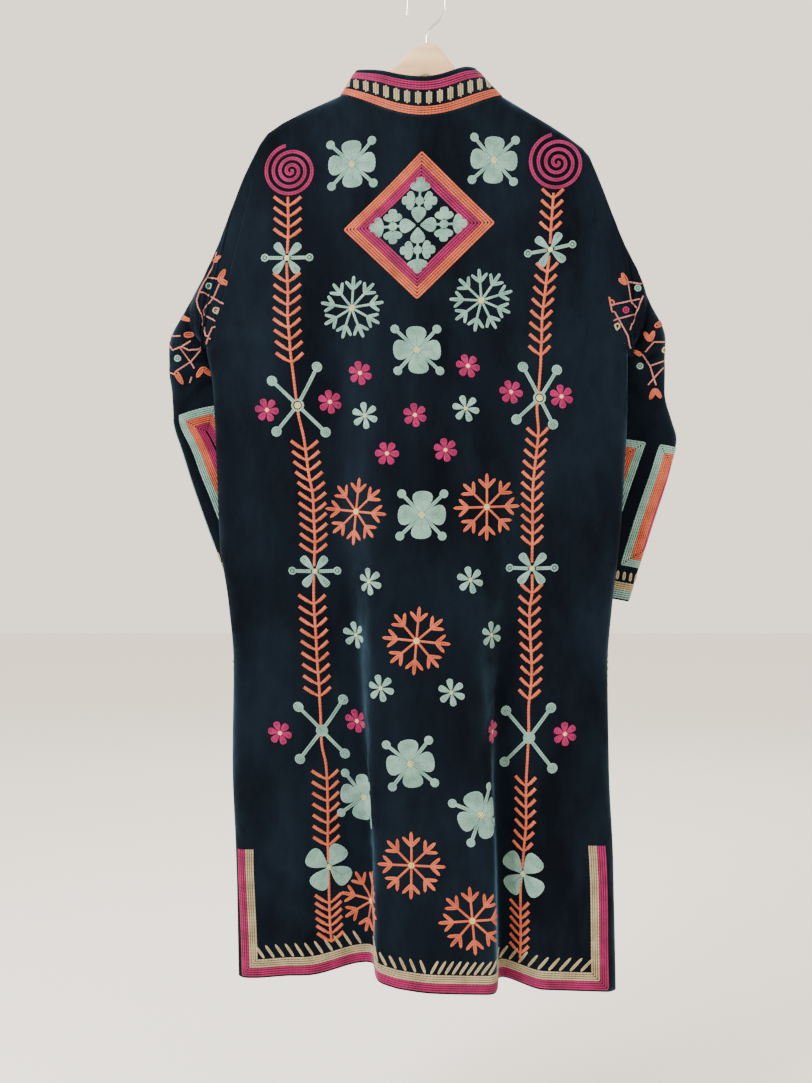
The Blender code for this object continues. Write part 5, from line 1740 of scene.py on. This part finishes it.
LOBES = {"left": [Lobe(213.3, 262.4, 220.4, 255.8, 0.0036), Lobe(218.9, 280.5, 225, 269.6, 0.0042),
                  Lobe(217.9, 278, 228, 286, 0.0042), Lobe(179.6, 316.5, 189.8, 320.6, 0.0038),
                  Lobe(184.2, 334.9, 193.9, 334.9, 0.0046), Lobe(175.5, 371.6, 182.7, 383.9, 0.0042),
                  Lobe(203, 367.6, 197, 377.2, 0.0040), Lobe(203, 367.6, 211.7, 375.7, 0.0040)],
         "right": [Lobe(627, 284, 619, 279, 0.0040), Lobe(627, 284, 622, 273, 0.0040),
                   Lobe(614, 305, 608, 297, 0.0040), Lobe(655, 327, 665, 320, 0.0042),
                   Lobe(650, 341, 644, 332, 0.0040), Lobe(650, 341, 654, 331, 0.0040),
                   Lobe(655, 389, 650, 399, 0.0040), Lobe(655, 389, 661, 398, 0.0040),
                   Lobe(641, 355, 634, 351, 0.0036)]}
SLEEVE_DOTS = {"left": [("mint", 208.7, 285.9), ("beige", 216, 310.4), ("mint", 177.6, 358.4)],
               "right": [("mint", 638, 288), ("magenta", 626, 310), ("beige", 617, 326),
                         ("cream", 665, 350), ("mint", 640, 366)]}
print(len(LEFT_LATTICE), "and", len(RIGHT_LATTICE), "lines of lattice")

# %% [markdown]
# ## Sewing over the armhole seam
#
# The lattice crosses from the sleeve on to the back. So these paths are sampled in the photograph,
# and each sample is laid on whichever piece is seen there. The same design is sewn again on the
# sleeve's far side, turned over: a guess, because that side isn't seen.

# %% Upper sleeves
PIXELS_PER_METRE = 740.7
LATTICE_WIDTH = 0.0027
DOT = 0.0052


def sew_seen(chart, colour, pixel_paths, width=ROW):
    """Sew paths given in photo pixels; each point lies on the sleeve or, past its seam, the back."""
    for path in pixel_paths:
        path = np.asarray(path, float)
        run = length_along(path)
        even = np.linspace(0, run[-1], max(int(run[-1] / 1.5) + 1, 5))
        spots = np.stack([np.interp(even, run, path[:, 0]), np.interp(even, run, path[:, 1])], axis=1)
        found = []
        for cloth in (chart, back_chart):
            places = photo_line(cloth, spots)
            points, normal = on_chart(cloth, places[:, 0], places[:, 1])
            off = np.linalg.norm(to_photo(points)[:, :2] - spots, axis=1)
            found.append((points, normal, off))
        on_sleeve = (found[0][2] < found[1][2] + 0.3)[:, None]
        points = np.where(on_sleeve, found[0][0], found[1][0])
        normal = np.where(on_sleeve, found[0][1], found[1][1])
        sewn_rows.setdefault((chart.name, colour), []).append((points, normal, width))


def to_pixels(paths, x, y):
    """Paths in metres round a middle as photo pixels."""
    return [np.stack([x + path[:, 0] * PIXELS_PER_METRE, y - path[:, 1] * PIXELS_PER_METRE], axis=1)
            for path in paths]


for name, chart in sleeve_charts.items():
    for places in LATTICES[name]:
        sew_seen(chart, "pink", [places], LATTICE_WIDTH)
        sew(chart, "pink", [photo_line(chart, places) * (-1, 1)], LATTICE_WIDTH)
    for lobe in LOBES[name]:
        tip = np.array([lobe.x1 - lobe.x0, lobe.y0 - lobe.y1]) / PIXELS_PER_METRE
        paths = leaf_rows((0, 0), tip, lobe.half_width)
        sew_seen(chart, "coral", to_pixels(paths, lobe.x0, lobe.y0))
        root = from_photo(chart, lobe.x0, lobe.y0)
        sew(chart, "coral", [(path + root) * (-1, 1) for path in paths])
    for colour, x, y in SLEEVE_DOTS[name]:
        sew_seen(chart, colour, to_pixels(disc(DOT), x, y))
        sew(chart, colour, [path * (-1, 1) for path in disc(DOT, from_photo(chart, x, y))])
print_rows("upper sleeves")

# %% [markdown]
# ## The fronts' design
#
# The photograph shows the back, so the fronts are guessed from it: the same borders, carried up the
# front opening, a spiral on each shoulder, one vine, and flowers and stars between. Places are the
# chart's own, in metres.

# %% The fronts' design
FRONT_VINE = -0.150
VINE_SWAY = 0.006
TWIG_RUNS = [(-0.33, -0.50), (-0.60, -0.80), (-0.90, -1.08), (-1.18, -1.29)]
TWIG_STEP = -0.016
TWIG_REACH = 0.018
FRONT_MOTIFS = [
    ("mint", cross_flower, CROSS_MIDDLE, [(-0.075, -0.42), (-0.075, -0.78), (-0.075, -1.12)]),
    ("coral", coral_frost, FROST_MIDDLE, [(-0.080, -0.60), (-0.075, -0.95), (-0.220, -0.92)]),
    ("magenta", magenta_flower, MAGENTA_MIDDLE,
     [(-0.215, -0.55), (-0.215, -0.72), (-0.080, -0.51), (-0.080, -0.69), (-0.080, -1.03)]),
]


def front_stem(b):
    """The front's stem sways by a sine of its height."""
    return FRONT_VINE + VINE_SWAY * np.sin(b * 9)


for name, chart in front_charts.items():
    grid = front_grids[name][0]
    top_b = grid[0, -1, 2] + 0.004
    for colour, first in BANDS:
        for number in range(BAND_ROWS):
            inset = first + number * ROW
            low_part = border(chart, grid, inset, False)
            edge_b = np.linspace(low_part[-1, 1], top_b, 200)
            rise = np.stack([np.full(200, -inset), edge_b], axis=1)
            sew(chart, colour, [np.concatenate([low_part, rise])])
    sew(chart, "magenta", turned(spiral(0.0340, 4.0), 90, (-0.150, -0.262)))
    stem_b = np.linspace(-0.305, -1.300, 120)
    sew(chart, "coral", [np.stack([front_stem(stem_b), stem_b], axis=1)], width=0.0042)
    for b in np.concatenate([np.arange(*run, TWIG_STEP) for run in TWIG_RUNS]):
        a = np.interp(-b, -stem_b, front_stem(stem_b))
        for reach in (-TWIG_REACH, TWIG_REACH):
            sew(chart, "coral", [twig(a, b, reach)], width=0.0036)
    for layers, middle, b in ((vine_star, STAR_MIDDLE, -0.55), (vine_star, STAR_MIDDLE, -1.13),
                              (vine_flower, VINE_FLOWER_MIDDLE, -0.85)):
        at = (np.interp(-b, -stem_b, front_stem(stem_b)), b)
        place_motif(chart, "mint", at, 0, layers, middle)
    for colour, layers, middle, places in FRONT_MOTIFS:
        for at in places:
            place_motif(chart, colour, at, 0, layers, middle)
print_rows("fronts")

# %% [markdown]
# ## All threads become meshes
#
# Until now the rows were only kept. Joined by piece and colour they make some thirty meshes instead
# of thousands of objects, and the meshes are listed by the cloth that they are sewn on.

# %% All threads become meshes
thread_pieces = {}
for (cloth, colour), kept in sewn_rows.items():
    item = add_stitches(f"{cloth}_thread_{colour}", kept, THREADS[colour])
    thread_pieces.setdefault(cloth, []).append(item)
print("triangles in threads", sum(len(item.data.polygons) * 2 for items in thread_pieces.values()
                                  for item in items))


# %% [markdown]
# ## Room
#
# The robe hangs clear of everything.

# %% Room
FLOOR_Z = -1.62
FLOOR_REACH = 9
floor_mesh = bpy.data.meshes.new("floor")
floor_mesh.from_pydata([(x * FLOOR_REACH, y * FLOOR_REACH, FLOOR_Z)
                        for x, y in ((-1, -1), (1, -1), (1, 1), (-1, 1))], [], [(0, 1, 2, 3)])
floor = bpy.data.objects.new("floor", floor_mesh)
bpy.context.collection.objects.link(floor)
pale = bpy.data.materials.new("pale_floor")
pale.use_nodes = True
pale_shader = pale.node_tree.nodes["Principled BSDF"]
pale_shader.inputs["Base Color"].default_value = (0.86, 0.845, 0.81, 1)
pale_shader.inputs["Roughness"].default_value = 0.9
floor_mesh.materials.append(pale)

world = bpy.data.worlds.new("surround")
world.use_nodes = True
sky = world.node_tree.nodes["Background"]
sky.inputs["Color"].default_value = (1.0, 0.885, 0.715, 1)
sky.inputs["Strength"].default_value = 1.85
bpy.context.scene.world = world
print("floor at", FLOOR_Z)

# %% [markdown]
# ## Light
#
# Three big soft lights, all aimed at the middle of the robe: one from the upper left, a weaker one
# from the right, and one from behind that brings out the pile along the edges.

# %% Light
Lamp = namedtuple("Lamp", "name place size power")
LAMPS = [Lamp("key", (-2.1, -1.6, 0.9), 1.2, 190), Lamp("fill", (2.3, -1.4, 0.2), 1.5, 40),
         Lamp("rim", (0.4, 2.4, 0.8), 1.8, 40)]
ROBE_MIDDLE = np.array([0, 0, -0.7])
for lamp in LAMPS:
    data = bpy.data.lights.new(lamp.name, "AREA")
    data.size = lamp.size
    data.energy = lamp.power
    light = bpy.data.objects.new(lamp.name, data)
    light.location = lamp.place
    aim = ROBE_MIDDLE - np.array(lamp.place)
    light.rotation_euler = (np.arctan2(np.hypot(aim[0], aim[1]), -aim[2]), 0,
                            np.arctan2(aim[1], aim[0]) - np.pi / 2)
    bpy.context.collection.objects.link(light)
print("lamps", *(lamp.name for lamp in LAMPS))
